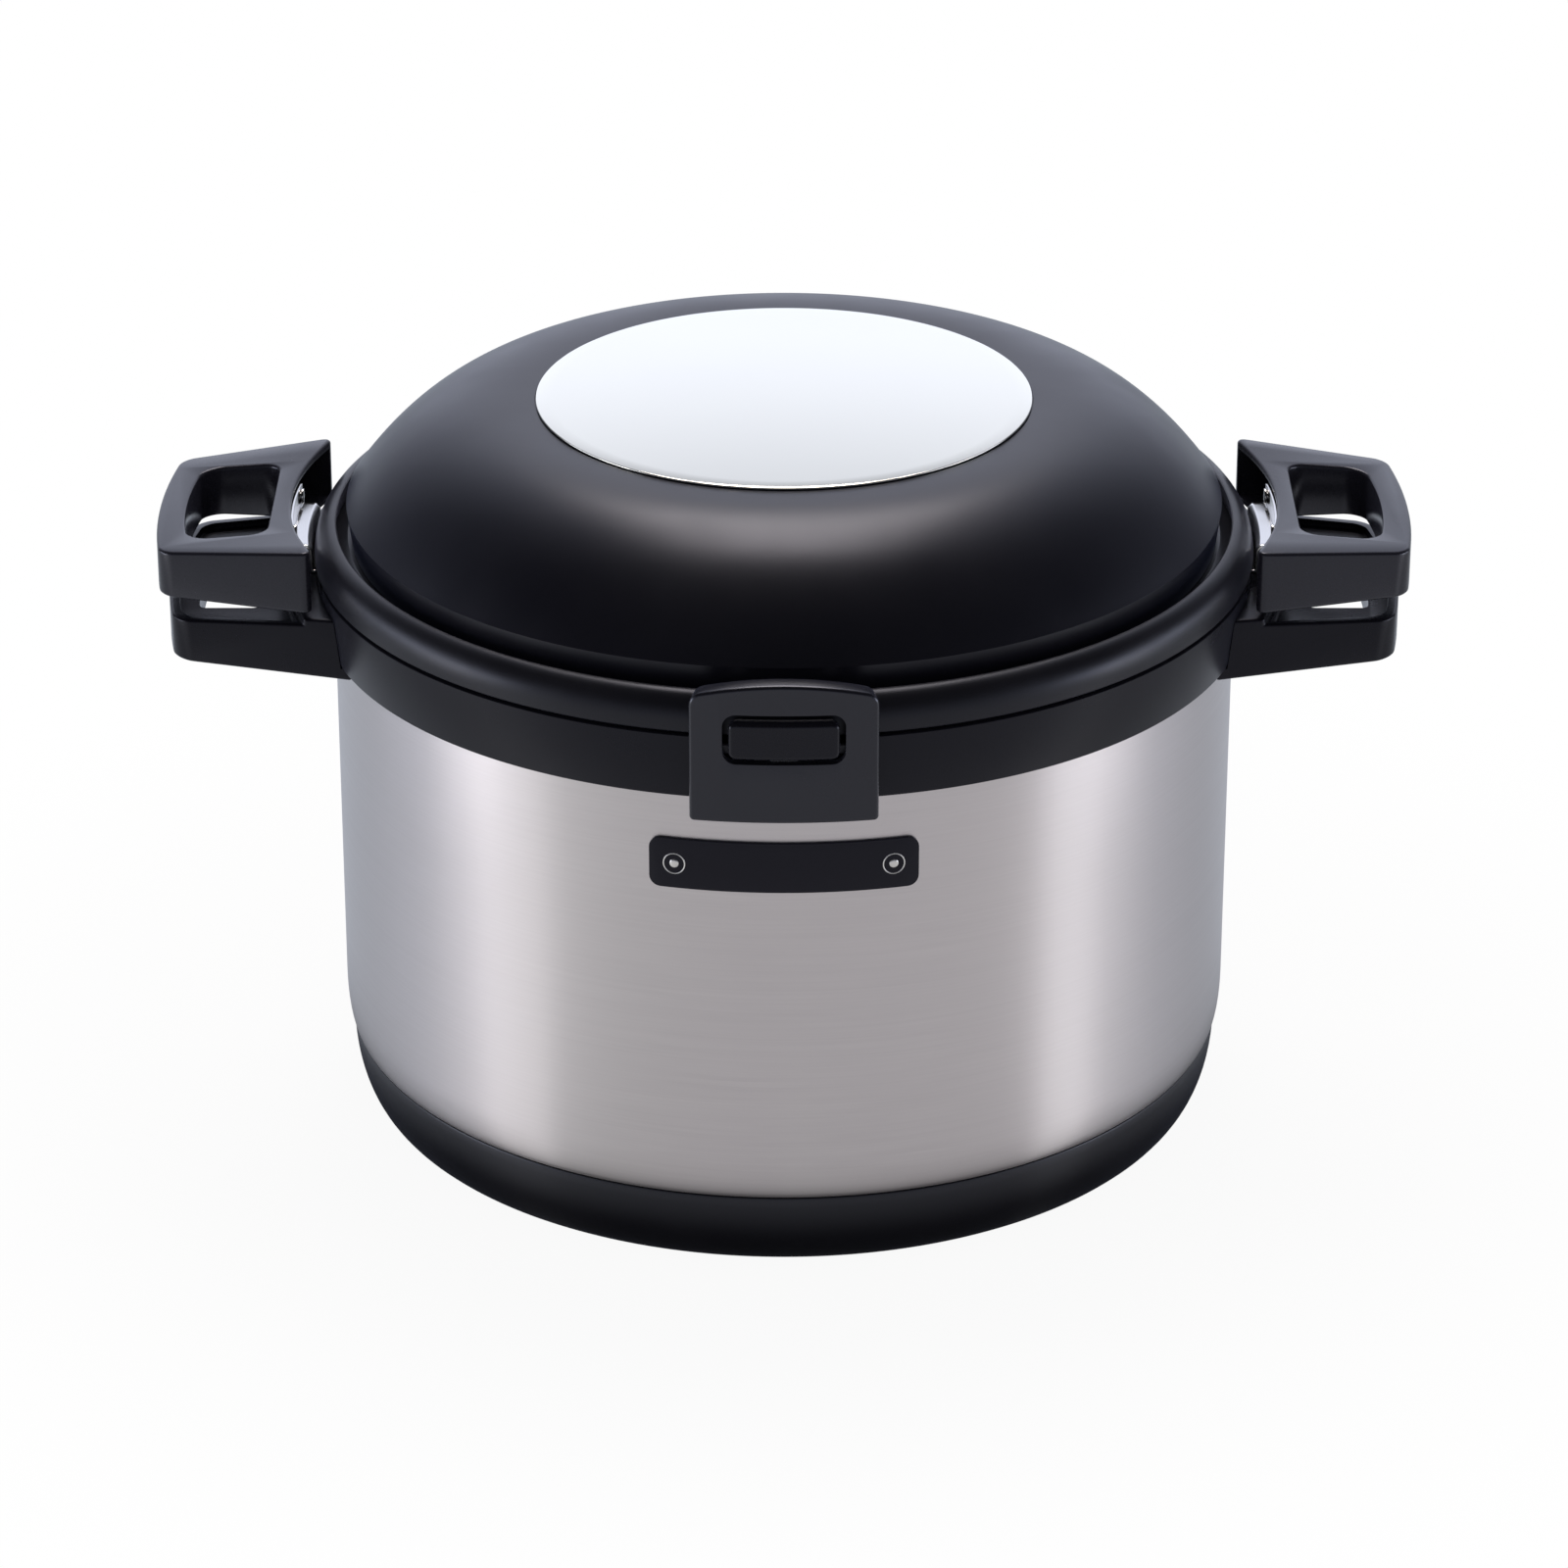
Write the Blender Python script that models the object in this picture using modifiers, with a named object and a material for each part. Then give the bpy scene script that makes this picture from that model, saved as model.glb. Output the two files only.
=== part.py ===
# Thermal cooker: a vacuum-walled steel vessel with a hinged domed lid, and a cooking pot inside it.
# Units are metres. +Z is up, the latch faces -Y, the hinge is at +Y and the handles are at -X and +X.
# The origin is on the vessel's axis, on the surface that the cooker stands on.

import math

import bmesh
import bpy
from mathutils import Matrix

# Driving sizes: the vessel's radius, and the height of its collar's top
BODY_RADIUS = 0.1400
COLLAR_TOP_Z = 0.1817

# Fits shared by all pieces
ROUND_STEPS = 32
INNER_STEPS = 24
SMALL_STEPS = 16
FIT_GAP = 0.0003
OVERRUN = 0.0040
WELD_DISTANCE = 0.00001
SHARP_ANGLE = math.radians(35.0)

# Outer shell: brushed steel sheet, drawn in at the foot and over the shoulder
SHELL_SHEET = 0.0006
SHELL_FOOT_Z = 0.0060
SHELL_FOOT_CURVE = 0.0140
SHELL_FOOT_RADIUS = BODY_RADIUS - SHELL_FOOT_CURVE
SHELL_STEP_Z = 0.0266
SHELL_STEP_DEPTH = 0.0024
SHELL_DRAW_IN = 0.0023
SHELL_DRAW_HEIGHT = 0.0140
SHOULDER_WIDTH = 0.0130
SHOULDER_HEIGHT = 0.0119
MOUTH_DROP = 0.0068
MOUTH_RADIUS = BODY_RADIUS - SHOULDER_WIDTH
MOUTH_Z = COLLAR_TOP_Z - MOUTH_DROP
SHOULDER_Z = MOUTH_Z - SHOULDER_HEIGHT

# Inner liner: the inner wall of the vacuum jacket
LINER_SHEET = 0.0006
LINER_LIP_FLARE = 0.0020
LINER_LIP_HEIGHT = 0.0024
LINER_FLOOR_LIFT = 0.0246
LINER_CORNER = 0.0120
LINER_RADIUS = MOUTH_RADIUS - LINER_LIP_FLARE
LINER_FLOOR_Z = SHELL_FOOT_Z + LINER_FLOOR_LIFT

# Base cup and its rubber foot ring
CUP_WALL = 0.0020
CUP_BOTTOM_Z = 0.0012
CUP_SIDE_CURVE = 0.0120
CUP_RIM_ROUND = 0.0007
CUP_OUTER_STEP = 0.0003
CUP_BOTTOM_RADIUS = BODY_RADIUS - CUP_SIDE_CURVE
FOOT_INSET = 0.0120
FOOT_WIDTH = 0.0094
FOOT_SEAT_DEPTH = 0.0022
FOOT_RADIUS = CUP_BOTTOM_RADIUS - FOOT_INSET
SEAL_CAP_RADIUS = 0.0090
SEAL_CAP_STEPS = 20

# Collar: the moulded ring over the shoulder that carries the handles, latch and hinge
COLLAR_OVERHANG = 0.0056
COLLAR_TAPER = 0.0022
COLLAR_SKIRT = 0.0017
COLLAR_EDGE = 0.0005
COLLAR_BORE_STEP = 0.0004
COLLAR_TOP_RADIUS = BODY_RADIUS + COLLAR_OVERHANG
COLLAR_LOW_RADIUS = COLLAR_TOP_RADIUS - COLLAR_TAPER
COLLAR_LOW_Z = SHOULDER_Z - COLLAR_SKIRT
COLLAR_BORE_RADIUS = LINER_RADIUS + COLLAR_BORE_STEP
LUG_LENGTH = 0.0100
LUG_HALF_WIDTH = 0.0200
LUG_LIFT = 0.0015
LUG_HEIGHT = 0.0050
LUG_LOW_Z = COLLAR_LOW_Z + LUG_LIFT

# Handle plan, shared by the two pairs of loops
HANDLE_ROOT_HALF = 0.0468
HANDLE_TIP_HALF = 0.0372
HANDLE_TIP_BOW = 0.0034
HANDLE_TIP_ROUND = 0.0065
HANDLE_ROOT_ROUND = 0.0014
HANDLE_EDGE = 0.0018
WINDOW_ROUND = 0.0042
WINDOW_BOW = 0.0012
CORNER_STEPS = 3
ROOT_STEPS = 6
BOW_STEPS = 4

# Carry handles: loops with a finger window, screwed under the collar's two lugs
CARRY_LENGTH = 0.0452
CARRY_HEIGHT = 0.0181
CARRY_LOW_DROP = 0.0057
CARRY_TOP_FALL = 0.0016
CARRY_LOW_RISE = 0.0029
CARRY_BAND_WIDTH = 0.0078
CARRY_BAND_STEP = 0.0030
CARRY_TRAY_DEPTH = 0.0022
CARRY_RIM_WIDTH = 0.0072
CARRY_ROOT_BAR = 0.0056
CARRY_TIP_BAR = 0.0088
CARRY_SIDE_BAR = 0.0182
CARRY_REACH = COLLAR_TOP_RADIUS + CARRY_LENGTH
CARRY_LOW_Z = COLLAR_LOW_Z - CARRY_LOW_DROP
CARRY_TOP_Z = CARRY_LOW_Z + CARRY_HEIGHT
CARRY_BAND_TOP_Z = CARRY_TOP_Z + CARRY_BAND_STEP
CARRY_WINDOW_START = COLLAR_TOP_RADIUS + CARRY_BAND_WIDTH + CARRY_ROOT_BAR
CARRY_WINDOW_END = CARRY_REACH - CARRY_TIP_BAR
CARRY_WINDOW_HALF = HANDLE_TIP_HALF - CARRY_SIDE_BAR

# Pot handles: thicker loops that stand just clear of the closed lid's rim
POT_HANDLE_LENGTH = 0.0419
POT_HANDLE_HEIGHT = 0.0165
POT_HANDLE_STAND_OFF = 0.0057
POT_HANDLE_LIFT = 0.0005
POT_HANDLE_TOP_FALL = 0.0037
POT_ROOT_BAR = 0.0070
POT_TIP_BAR = 0.0087
POT_SIDE_BAR = 0.0079
POT_HANDLE_INNER_RADIUS = COLLAR_TOP_RADIUS + POT_HANDLE_STAND_OFF
POT_HANDLE_REACH = POT_HANDLE_INNER_RADIUS + POT_HANDLE_LENGTH
POT_HANDLE_LOW_Z = COLLAR_TOP_Z + POT_HANDLE_LIFT
POT_HANDLE_TOP_Z = POT_HANDLE_LOW_Z + POT_HANDLE_HEIGHT
POT_WINDOW_START = POT_HANDLE_INNER_RADIUS + POT_ROOT_BAR
POT_WINDOW_END = POT_HANDLE_REACH - POT_TIP_BAR
POT_WINDOW_HALF = HANDLE_TIP_HALF - POT_SIDE_BAR

# Pot brackets, and the collar's notches that they pass through
BRACKET_SHEET = 0.0015
BRACKET_HALF_ANGLE = math.radians(12.0)
BRACKET_STEPS = 4
BRACKET_PAD_HEIGHT = 0.0120
BRACKET_FLOOR_GAP = 0.0003
BRACKET_RISE_STEP = 0.0010
BRACKET_RISE_HEIGHT = 0.0080
BRACKET_FLANGE_HEIGHT = 0.0133
BRACKET_RISE_START = COLLAR_TOP_RADIUS + BRACKET_RISE_STEP
BRACKET_TOP_Z = POT_HANDLE_LOW_Z + BRACKET_FLANGE_HEIGHT
NOTCH_DEPTH = 0.0028
NOTCH_SIDE_ROOM = 0.0025
NOTCH_HALF_WIDTH = POT_HANDLE_INNER_RADIUS * math.sin(BRACKET_HALF_ANGLE) + NOTCH_SIDE_ROOM

# Screws
SCREW_RADIUS = 0.0015
SCREW_HEAD_RADIUS = 0.0030
SCREW_HEAD_HEIGHT = 0.0014
SCREW_STEPS = 8
CARRY_SCREW_PITCH = 0.0240
CARRY_SCREW_BITE = 0.0050
POT_SCREW_PITCH = 0.0360
POT_SCREW_LIFT = 0.0078
POT_SCREW_BITE = 0.0055
POT_SCREW_Z = POT_HANDLE_LOW_Z + POT_SCREW_LIFT

# Badge plate on the steel below the latch, bare
BADGE_HALF_WIDTH = 0.0392
BADGE_HALF_HEIGHT = 0.0080
BADGE_DROP = 0.0231
BADGE_THICKNESS = 0.0008
BADGE_ROUND = 0.0034
BADGE_Z = COLLAR_LOW_Z - BADGE_DROP
STUD_INSET = 0.0070
STUD_RADIUS = 0.0014
STUD_PROUD = 0.0004
STUD_ANGLE = math.asin((BADGE_HALF_WIDTH - STUD_INSET) / (BODY_RADIUS + FIT_GAP + BADGE_THICKNESS))

# Lid ring: the lid's moulded rim, over the collar
SEAM_GAP = 0.0010
RING_HEIGHT = 0.0124
RING_TOP_INSET = 0.0065
RING_SIDE_HEIGHT = 0.0014
RING_TOP_ROUND = 0.0005
RING_TOP_LAND = 0.0006
RING_ARC_STEPS = 5
RING_WALL_STEP = 0.0025
GROOVE_DEPTH = 0.0051
FLANGE_THICKNESS = 0.0018
FLANGE_WIDTH = 0.0205
RING_TOP_RADIUS = COLLAR_TOP_RADIUS - RING_TOP_INSET
RING_TOP_Z = COLLAR_TOP_Z + RING_HEIGHT
GROOVE_RADIUS = RING_TOP_RADIUS - RING_TOP_LAND
GROOVE_FLOOR_Z = RING_TOP_Z - GROOVE_DEPTH
FLANGE_INNER_RADIUS = GROOVE_RADIUS - FLANGE_WIDTH
RING_THICK_RADIUS = GROOVE_RADIUS - RING_WALL_STEP

# Latch housing and release button
BUTTON_HALF_WIDTH = 0.0163
BUTTON_HALF_HEIGHT = 0.0062
BUTTON_RISE = 0.0026
BUTTON_ROUND = 0.0024
BUTTON_EDGE = 0.0011
BUTTON_PROUD = 0.0013
BUTTON_GAP = 0.0016
BUTTON_DEPTH = 0.0047
BUTTON_Z = COLLAR_TOP_Z + BUTTON_RISE
TAB_REACH = 0.0033
TAB_THICKNESS = 0.0014
TAB_TOP_DROP = 0.0033
TAB_HEIGHT = 0.0025
TAB_HALF_WIDTH = BUTTON_HALF_WIDTH + TAB_REACH
TAB_TOP_Z = BUTTON_Z - TAB_TOP_DROP
TAB_LOW_Z = TAB_TOP_Z - TAB_HEIGHT
STEM_HALF_WIDTH = 0.0040
LATCH_THICKNESS = 0.0058
LATCH_WALL = 0.0038
LATCH_SIDE_WALL = 0.0059
LATCH_LOW_DROP = 0.0027
LATCH_CORNER_RISE = 0.0034
LATCH_ARCH = 0.0038
LATCH_ROUND = 0.0026
LATCH_EDGE = 0.0008
LATCH_BACK_RADIUS = COLLAR_TOP_RADIUS + 2.0 * FIT_GAP
LATCH_RADIUS = LATCH_BACK_RADIUS + LATCH_THICKNESS
LATCH_LOW_Z = COLLAR_LOW_Z - LATCH_LOW_DROP
LATCH_CORNER_Z = RING_TOP_Z + LATCH_CORNER_RISE
POCKET_LIFT = 0.0044
POCKET_DEPTH = 0.0141
POCKET_HALF_WIDTH = TAB_HALF_WIDTH + BUTTON_GAP + FIT_GAP
POCKET_LOW_Z = LATCH_LOW_Z + POCKET_LIFT
POCKET_INNER_Y = COLLAR_TOP_RADIUS - POCKET_DEPTH
LATCH_HALF_WIDTH = POCKET_HALF_WIDTH + LATCH_SIDE_WALL

# Striker bar under the lid ring
STRIKER_HALF_WIDTH = 0.0140
STRIKER_BAR = 0.0017
STRIKER_EAR = 0.0035
STRIKER_DEPTH = 0.0054
STRIKER_SHEET = 0.0012

# Latch hook, its pin and spring, and the ring's notch for the hook
HOOK_PIN_INSET = 0.0043
HOOK_PIN_LIFT = 0.0060
HOOK_PIN_RADIUS = 0.0015
HOOK_PIN_HALF_LENGTH = 0.0150
HOOK_BARREL_RADIUS = 0.0028
HOOK_HALF_WIDTH = 0.0040
HOOK_ARM_SETBACK = 0.0025
HOOK_ARM_THICKNESS = 0.0022
HOOK_KNEE_HEIGHT = 0.0060
HOOK_NOSE_GAP = 0.0002
HOOK_NOSE_HEIGHT = 0.0018
HOOK_NOSE_REACH = 0.0015
HOOK_HEAD_HEIGHT = 0.0022
HOOK_PIN_Y = LATCH_RADIUS - LATCH_WALL - HOOK_PIN_INSET
HOOK_PIN_Z = POCKET_LOW_Z + HOOK_PIN_LIFT
HOOK_ARM_Y = HOOK_PIN_Y - HOOK_ARM_SETBACK
HOOK_NOSE_LOW_Z = COLLAR_TOP_Z + SEAM_GAP + FIT_GAP + STRIKER_SHEET + HOOK_NOSE_GAP
HOOK_TOP_Z = HOOK_NOSE_LOW_Z + HOOK_HEAD_HEIGHT
SPRING_WIRE = 0.0003
SPRING_TURNS = 4
SPRING_PITCH = 0.0008
SPRING_POINTS = 8
SPRING_LOOSE = 0.0003
HOOK_CAVITY_HALF = HOOK_HALF_WIDTH + SPRING_TURNS * SPRING_PITCH + 2.0 * SPRING_WIRE + 3.0 * FIT_GAP
HOOK_NOTCH_SIDE = 0.0005
HOOK_NOTCH_ROOM = 0.0004
HOOK_SWING_ROOM = 0.0072
HOOK_NOTCH_HALF = HOOK_CAVITY_HALF + HOOK_NOTCH_SIDE
HOOK_NOTCH_TOP_Z = HOOK_TOP_Z + HOOK_NOTCH_ROOM
HOOK_NOTCH_INNER_Y = HOOK_ARM_Y - HOOK_SWING_ROOM

# Dome, mirror disc, liner, foam and seal of the lid
DOME_HEIGHT = 0.0370
DOME_EDGE_LIFT = 0.0057
DOME_GROOVE_GAP = 0.0031
DOME_CURVE = 2.60
DOME_STEPS = 6
DOME_WALL = 0.0012
DOME_RADIUS = GROOVE_RADIUS - DOME_GROOVE_GAP
DOME_SHOULDER_Z = RING_TOP_Z + DOME_HEIGHT
DOME_EDGE_Z = RING_TOP_Z + DOME_EDGE_LIFT
DISC_RADIUS = 0.0764
DISC_PROUD = 0.0009
DISC_THICKNESS = 0.0012
DISC_CROWN = 0.0028
DISC_STEPS = 2
DISC_RIM_Z = DOME_SHOULDER_Z + DISC_PROUD
LINER_PLATE_SHEET = 0.0006
LINER_PLATE_GAP = 0.0008
LINER_PLATE_CROWN = 0.0210
LINER_PLATE_LAND = 0.0010
LINER_PLATE_STEPS = 3
LINER_PLATE_RADIUS = RING_THICK_RADIUS - LINER_PLATE_GAP
LINER_PLATE_RISE_RADIUS = FLANGE_INNER_RADIUS - LINER_PLATE_LAND
FOAM_GAP = 0.0005
FOAM_FLOOR_LIFT = 0.0004
FOAM_STEPS = 3
SEAL_STEP = 0.0056
SEAL_WIDTH = 0.0050
SEAL_LIP = 0.0022
SEAL_OUTER_RADIUS = COLLAR_BORE_RADIUS + SEAL_STEP
LID_SCREW_HEAD = 0.0019
LID_SCREW_STEP = 0.0024
LID_SCREW_RADIUS = SEAL_OUTER_RADIUS + LID_SCREW_STEP

# Hinge at the back
HINGE_SET_BACK = 0.0034
HINGE_DROP = 0.0057
HINGE_HALF_WIDTH = 0.0270
HINGE_ARM_HALF = 0.0139
HINGE_PIN_RADIUS = 0.0017
KNUCKLE_RADIUS = 0.0043
KNUCKLE_STEPS = 20
HINGE_Y = COLLAR_TOP_RADIUS + HINGE_SET_BACK
HINGE_Z = COLLAR_TOP_Z - HINGE_DROP
HINGE_PLATE_COVER = 0.0044
HINGE_PLATE_DROP = 0.0027
HINGE_PLATE_TOP_DROP = 0.0027
HINGE_PLATE_ROUND = 0.0025
HINGE_POCKET_DEPTH = 0.0035
HINGE_SADDLE_ROOM = 0.0012
HINGE_PLATE_RADIUS = COLLAR_TOP_RADIUS + HINGE_PLATE_COVER
HINGE_PLATE_LOW_Z = COLLAR_LOW_Z - HINGE_PLATE_DROP
HINGE_PLATE_TOP_Z = COLLAR_TOP_Z - HINGE_PLATE_TOP_DROP
HINGE_SADDLE_Z = HINGE_Z - KNUCKLE_RADIUS - HINGE_SADDLE_ROOM
HINGE_ARM_RISE = 0.0024
HINGE_ARM_COVER = 0.0049
HINGE_ARM_TOP_Z = RING_TOP_Z + HINGE_ARM_RISE
HINGE_ARM_RADIUS = COLLAR_TOP_RADIUS + HINGE_ARM_COVER
HINGE_SCREW_X = 0.0200
HINGE_SCREW_LIFT = 0.0069
HINGE_SCREW_BITE = 0.0075
HINGE_SCREW_Z = HINGE_PLATE_LOW_Z + HINGE_SCREW_LIFT
ARM_SCREW_X = 0.0080
ARM_SCREW_DROP = 0.0071
ARM_SCREW_BITE = 0.0095
ARM_SCREW_Z = RING_TOP_Z - ARM_SCREW_DROP

# Cooking pot
POT_ROOM = 0.0060
POT_SHEET = 0.0008
POT_RIM_LIFT = 0.0005
POT_RIM_WIDTH = 0.0020
POT_RIM_HEIGHT = 0.0012
POT_FLOOR_LIFT = 0.0128
POT_CORNER = 0.0120
POT_CORNER_STEPS = 2
POT_BASE_INSET = 0.0150
POT_BASE_THICKNESS = 0.0055
POT_BASE_EDGE = 0.0013
POT_RADIUS = LINER_RADIUS - POT_ROOM
POT_RIM_Z = COLLAR_TOP_Z + POT_RIM_LIFT
POT_FLOOR_Z = LINER_FLOOR_Z + POT_FLOOR_LIFT
POT_BASE_RADIUS = POT_RADIUS - POT_BASE_INSET

# Pot lid and its knob
POT_LID_INSET = 0.0002
POT_LID_SHEET = 0.0008
POT_LID_CROWN = 0.0072
POT_LID_RIM_WIDTH = 0.0098
POT_LID_STEPS = 3
POT_LID_RADIUS = POT_RADIUS + POT_RIM_WIDTH - POT_LID_INSET
KNOB_RADIUS = 0.0200
KNOB_HEIGHT = 0.0114
KNOB_NECK_RADIUS = 0.0090
KNOB_NECK_HEIGHT = 0.0042
KNOB_STEPS = 20
KNOB_SCREW_RADIUS = 0.0020
KNOB_SCREW_HEAD = 0.0040
KNOB_SCREW_DEPTH = 0.0060

# Finishes: base colour, roughness, metallic
FINISHES = {
    "brushed_steel": ((0.62, 0.61, 0.60, 1.0), 0.32, 1.0),
    "polished_steel": ((0.80, 0.80, 0.80, 1.0), 0.12, 1.0),
    "mirror_steel": ((0.90, 0.91, 0.92, 1.0), 0.04, 1.0),
    "satin_black": ((0.022, 0.022, 0.026, 1.0), 0.38, 0.0),
    "dome_black": ((0.014, 0.015, 0.022, 1.0), 0.30, 0.0),
    "badge_black": ((0.012, 0.011, 0.018, 1.0), 0.25, 0.0),
    "rubber": ((0.03, 0.03, 0.03, 1.0), 0.80, 0.0),
    "silicone": ((0.45, 0.45, 0.46, 1.0), 0.60, 0.0),
    "foam": ((0.85, 0.85, 0.82, 1.0), 0.90, 0.0),
}


# Scene set-up and shared shape makers


def clear_scene():
    for obj in list(bpy.data.objects):
        bpy.data.objects.remove(obj, do_unlink=True)


def new_collection(name):
    collection = bpy.data.collections.new(name)
    bpy.context.scene.collection.children.link(collection)
    return collection


clear_scene()
PARTS = new_collection("thermal_cooker")
CUTTERS = new_collection("cutters")
MATERIALS = {}


def finish_material(finish):
    if finish not in MATERIALS:
        colour, roughness, metallic = FINISHES[finish]
        material = bpy.data.materials.new(finish)
        material.use_nodes = True
        shader = material.node_tree.nodes["Principled BSDF"]
        shader.inputs["Base Color"].default_value = colour
        shader.inputs["Roughness"].default_value = roughness
        shader.inputs["Metallic"].default_value = metallic
        material.diffuse_color = colour
        MATERIALS[finish] = material
    return MATERIALS[finish]


def add_object(name, mesh, finish):
    """A new object, a part when it has a finish and a cutter when it has none."""
    obj = bpy.data.objects.new(name, mesh)
    if finish is None:
        CUTTERS.objects.link(obj)
        obj.hide_render = True
        obj.display_type = "WIRE"
    else:
        PARTS.objects.link(obj)
        obj.data.materials.clear()
        obj.data.materials.append(finish_material(finish))
    return obj


def smooth_round_faces(mesh):
    mesh.shade_smooth()
    mesh.set_sharp_from_angle(angle=SHARP_ANGLE)


def evaluated_mesh(obj):
    depsgraph = bpy.context.evaluated_depsgraph_get()
    mesh = bpy.data.meshes.new_from_object(obj.evaluated_get(depsgraph))
    mesh.transform(obj.matrix_world)
    return mesh


def weld(mesh):
    shape = bmesh.new()
    shape.from_mesh(mesh)
    bmesh.ops.remove_doubles(shape, verts=shape.verts, dist=WELD_DISTANCE)
    bmesh.ops.dissolve_limit(shape, angle_limit=math.radians(0.5), verts=shape.verts, edges=shape.edges)
    shape.to_mesh(mesh)
    shape.free()


def add_solidify(obj, thickness):
    modifier = obj.modifiers.new("Sheet", "SOLIDIFY")
    modifier.thickness = thickness
    modifier.offset = -1.0
    modifier.use_even_offset = True
    return modifier


def add_bevel(obj, width, segments=2):
    modifier = obj.modifiers.new("Edge", "BEVEL")
    modifier.width = width
    modifier.segments = segments
    modifier.limit_method = "ANGLE"
    modifier.angle_limit = SHARP_ANGLE
    modifier.use_clamp_overlap = True
    return modifier


def add_boolean(obj, other, operation):
    modifier = obj.modifiers.new(operation.title(), "BOOLEAN")
    modifier.operation = operation
    modifier.solver = "EXACT"
    modifier.object = other
    return modifier


def cut(obj, *others):
    for other in others:
        add_boolean(obj, other, "DIFFERENCE")


def fuse(obj, *others):
    for other in others:
        add_boolean(obj, other, "UNION")


def turned(name, points, finish, closed=True, sheet=0.0, steps=ROUND_STEPS, angle=2.0 * math.pi):
    """A profile of (radius, height) points, outer side top to bottom, turned about the Z axis."""
    mesh = bpy.data.meshes.new(name)
    edges = [(index, index + 1) for index in range(len(points) - 1)]
    if closed:
        edges.append((len(points) - 1, 0))
    mesh.from_pydata([(radius, 0.0, height) for radius, height in points], edges, [])
    obj = add_object(name, mesh, finish)
    screw = obj.modifiers.new("Turn", "SCREW")
    screw.axis = "Z"
    screw.angle = angle
    screw.steps = steps
    screw.render_steps = steps
    screw.use_merge_vertices = True
    screw.merge_threshold = WELD_DISTANCE
    screw.use_smooth_shade = True
    if sheet:
        add_solidify(obj, sheet)
    return obj


def plate(name, outlines, thickness, finish, turn=None):
    """Flat outlines, holes included, filled and thickened about the plane of the outlines."""
    curve = bpy.data.curves.new(name + "_outline", "CURVE")
    curve.dimensions = "2D"
    curve.fill_mode = "BOTH"
    curve.extrude = thickness / 2.0
    for outline in outlines:
        spline = curve.splines.new("POLY")
        spline.points.add(len(outline) - 1)
        for point, (across, up) in zip(spline.points, outline):
            point.co = (across, up, 0.0, 1.0)
        spline.use_cyclic_u = True
    guide = bpy.data.objects.new(name + "_guide", curve)
    CUTTERS.objects.link(guide)
    if turn is not None:
        guide.matrix_world = turn
    bpy.context.view_layer.update()
    mesh = evaluated_mesh(guide)
    mesh.name = name
    weld(mesh)
    bpy.data.objects.remove(guide, do_unlink=True)
    bpy.data.curves.remove(curve)
    return add_object(name, mesh, finish)


def upright(depth_centre):
    """Stands a flat outline up so that its second coordinate is height, centred at a depth along Y."""
    return Matrix.Translation((0.0, depth_centre, 0.0)) @ Matrix.Rotation(math.pi / 2.0, 4, "X")


def sideways(across_centre):
    """Stands a flat outline up in the plane of Y and Z, centred at a place along X."""
    lay = Matrix(((0.0, 0.0, 1.0, across_centre), (1.0, 0.0, 0.0, 0.0), (0.0, 1.0, 0.0, 0.0), (0.0, 0.0, 0.0, 1.0)))
    return lay


def level(height_centre):
    return Matrix.Translation((0.0, 0.0, height_centre))


def box(name, low, high, finish=None):
    shape = bmesh.new()
    size = [end - start for start, end in zip(low, high)]
    centre = [(start + end) / 2.0 for start, end in zip(low, high)]
    place = Matrix.Translation(centre) @ Matrix.Diagonal((size[0], size[1], size[2], 1.0))
    bmesh.ops.create_cube(shape, size=1.0, matrix=place)
    mesh = bpy.data.meshes.new(name)
    shape.to_mesh(mesh)
    shape.free()
    return add_object(name, mesh, finish)


def add_rod(shape, radius, start, end, axis, steps=SCREW_STEPS):
    """A cylinder in a mesh being built, along one axis between two places on it."""
    along = {"X": 0, "Y": 1, "Z": 2}[axis]
    length = end[along] - start[along]
    turn = {"X": Matrix.Rotation(math.pi / 2.0, 4, "Y"), "Y": Matrix.Rotation(-math.pi / 2.0, 4, "X"),
            "Z": Matrix.Identity(4)}[axis]
    centre = [(first + last) / 2.0 for first, last in zip(start, end)]
    bmesh.ops.create_cone(
        shape, cap_ends=True, segments=steps, radius1=radius, radius2=radius, depth=abs(length),
        matrix=Matrix.Translation(centre) @ turn)


def rods(name, pieces, finish=None, steps=SCREW_STEPS):
    """Separate cylinders in one object: each is (radius, start, end, axis)."""
    shape = bmesh.new()
    for radius, start, end, axis in pieces:
        add_rod(shape, radius, start, end, axis, steps)
    bmesh.ops.recalc_face_normals(shape, faces=shape.faces)
    mesh = bpy.data.meshes.new(name)
    shape.to_mesh(mesh)
    shape.free()
    smooth_round_faces(mesh)
    return add_object(name, mesh, finish)


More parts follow.
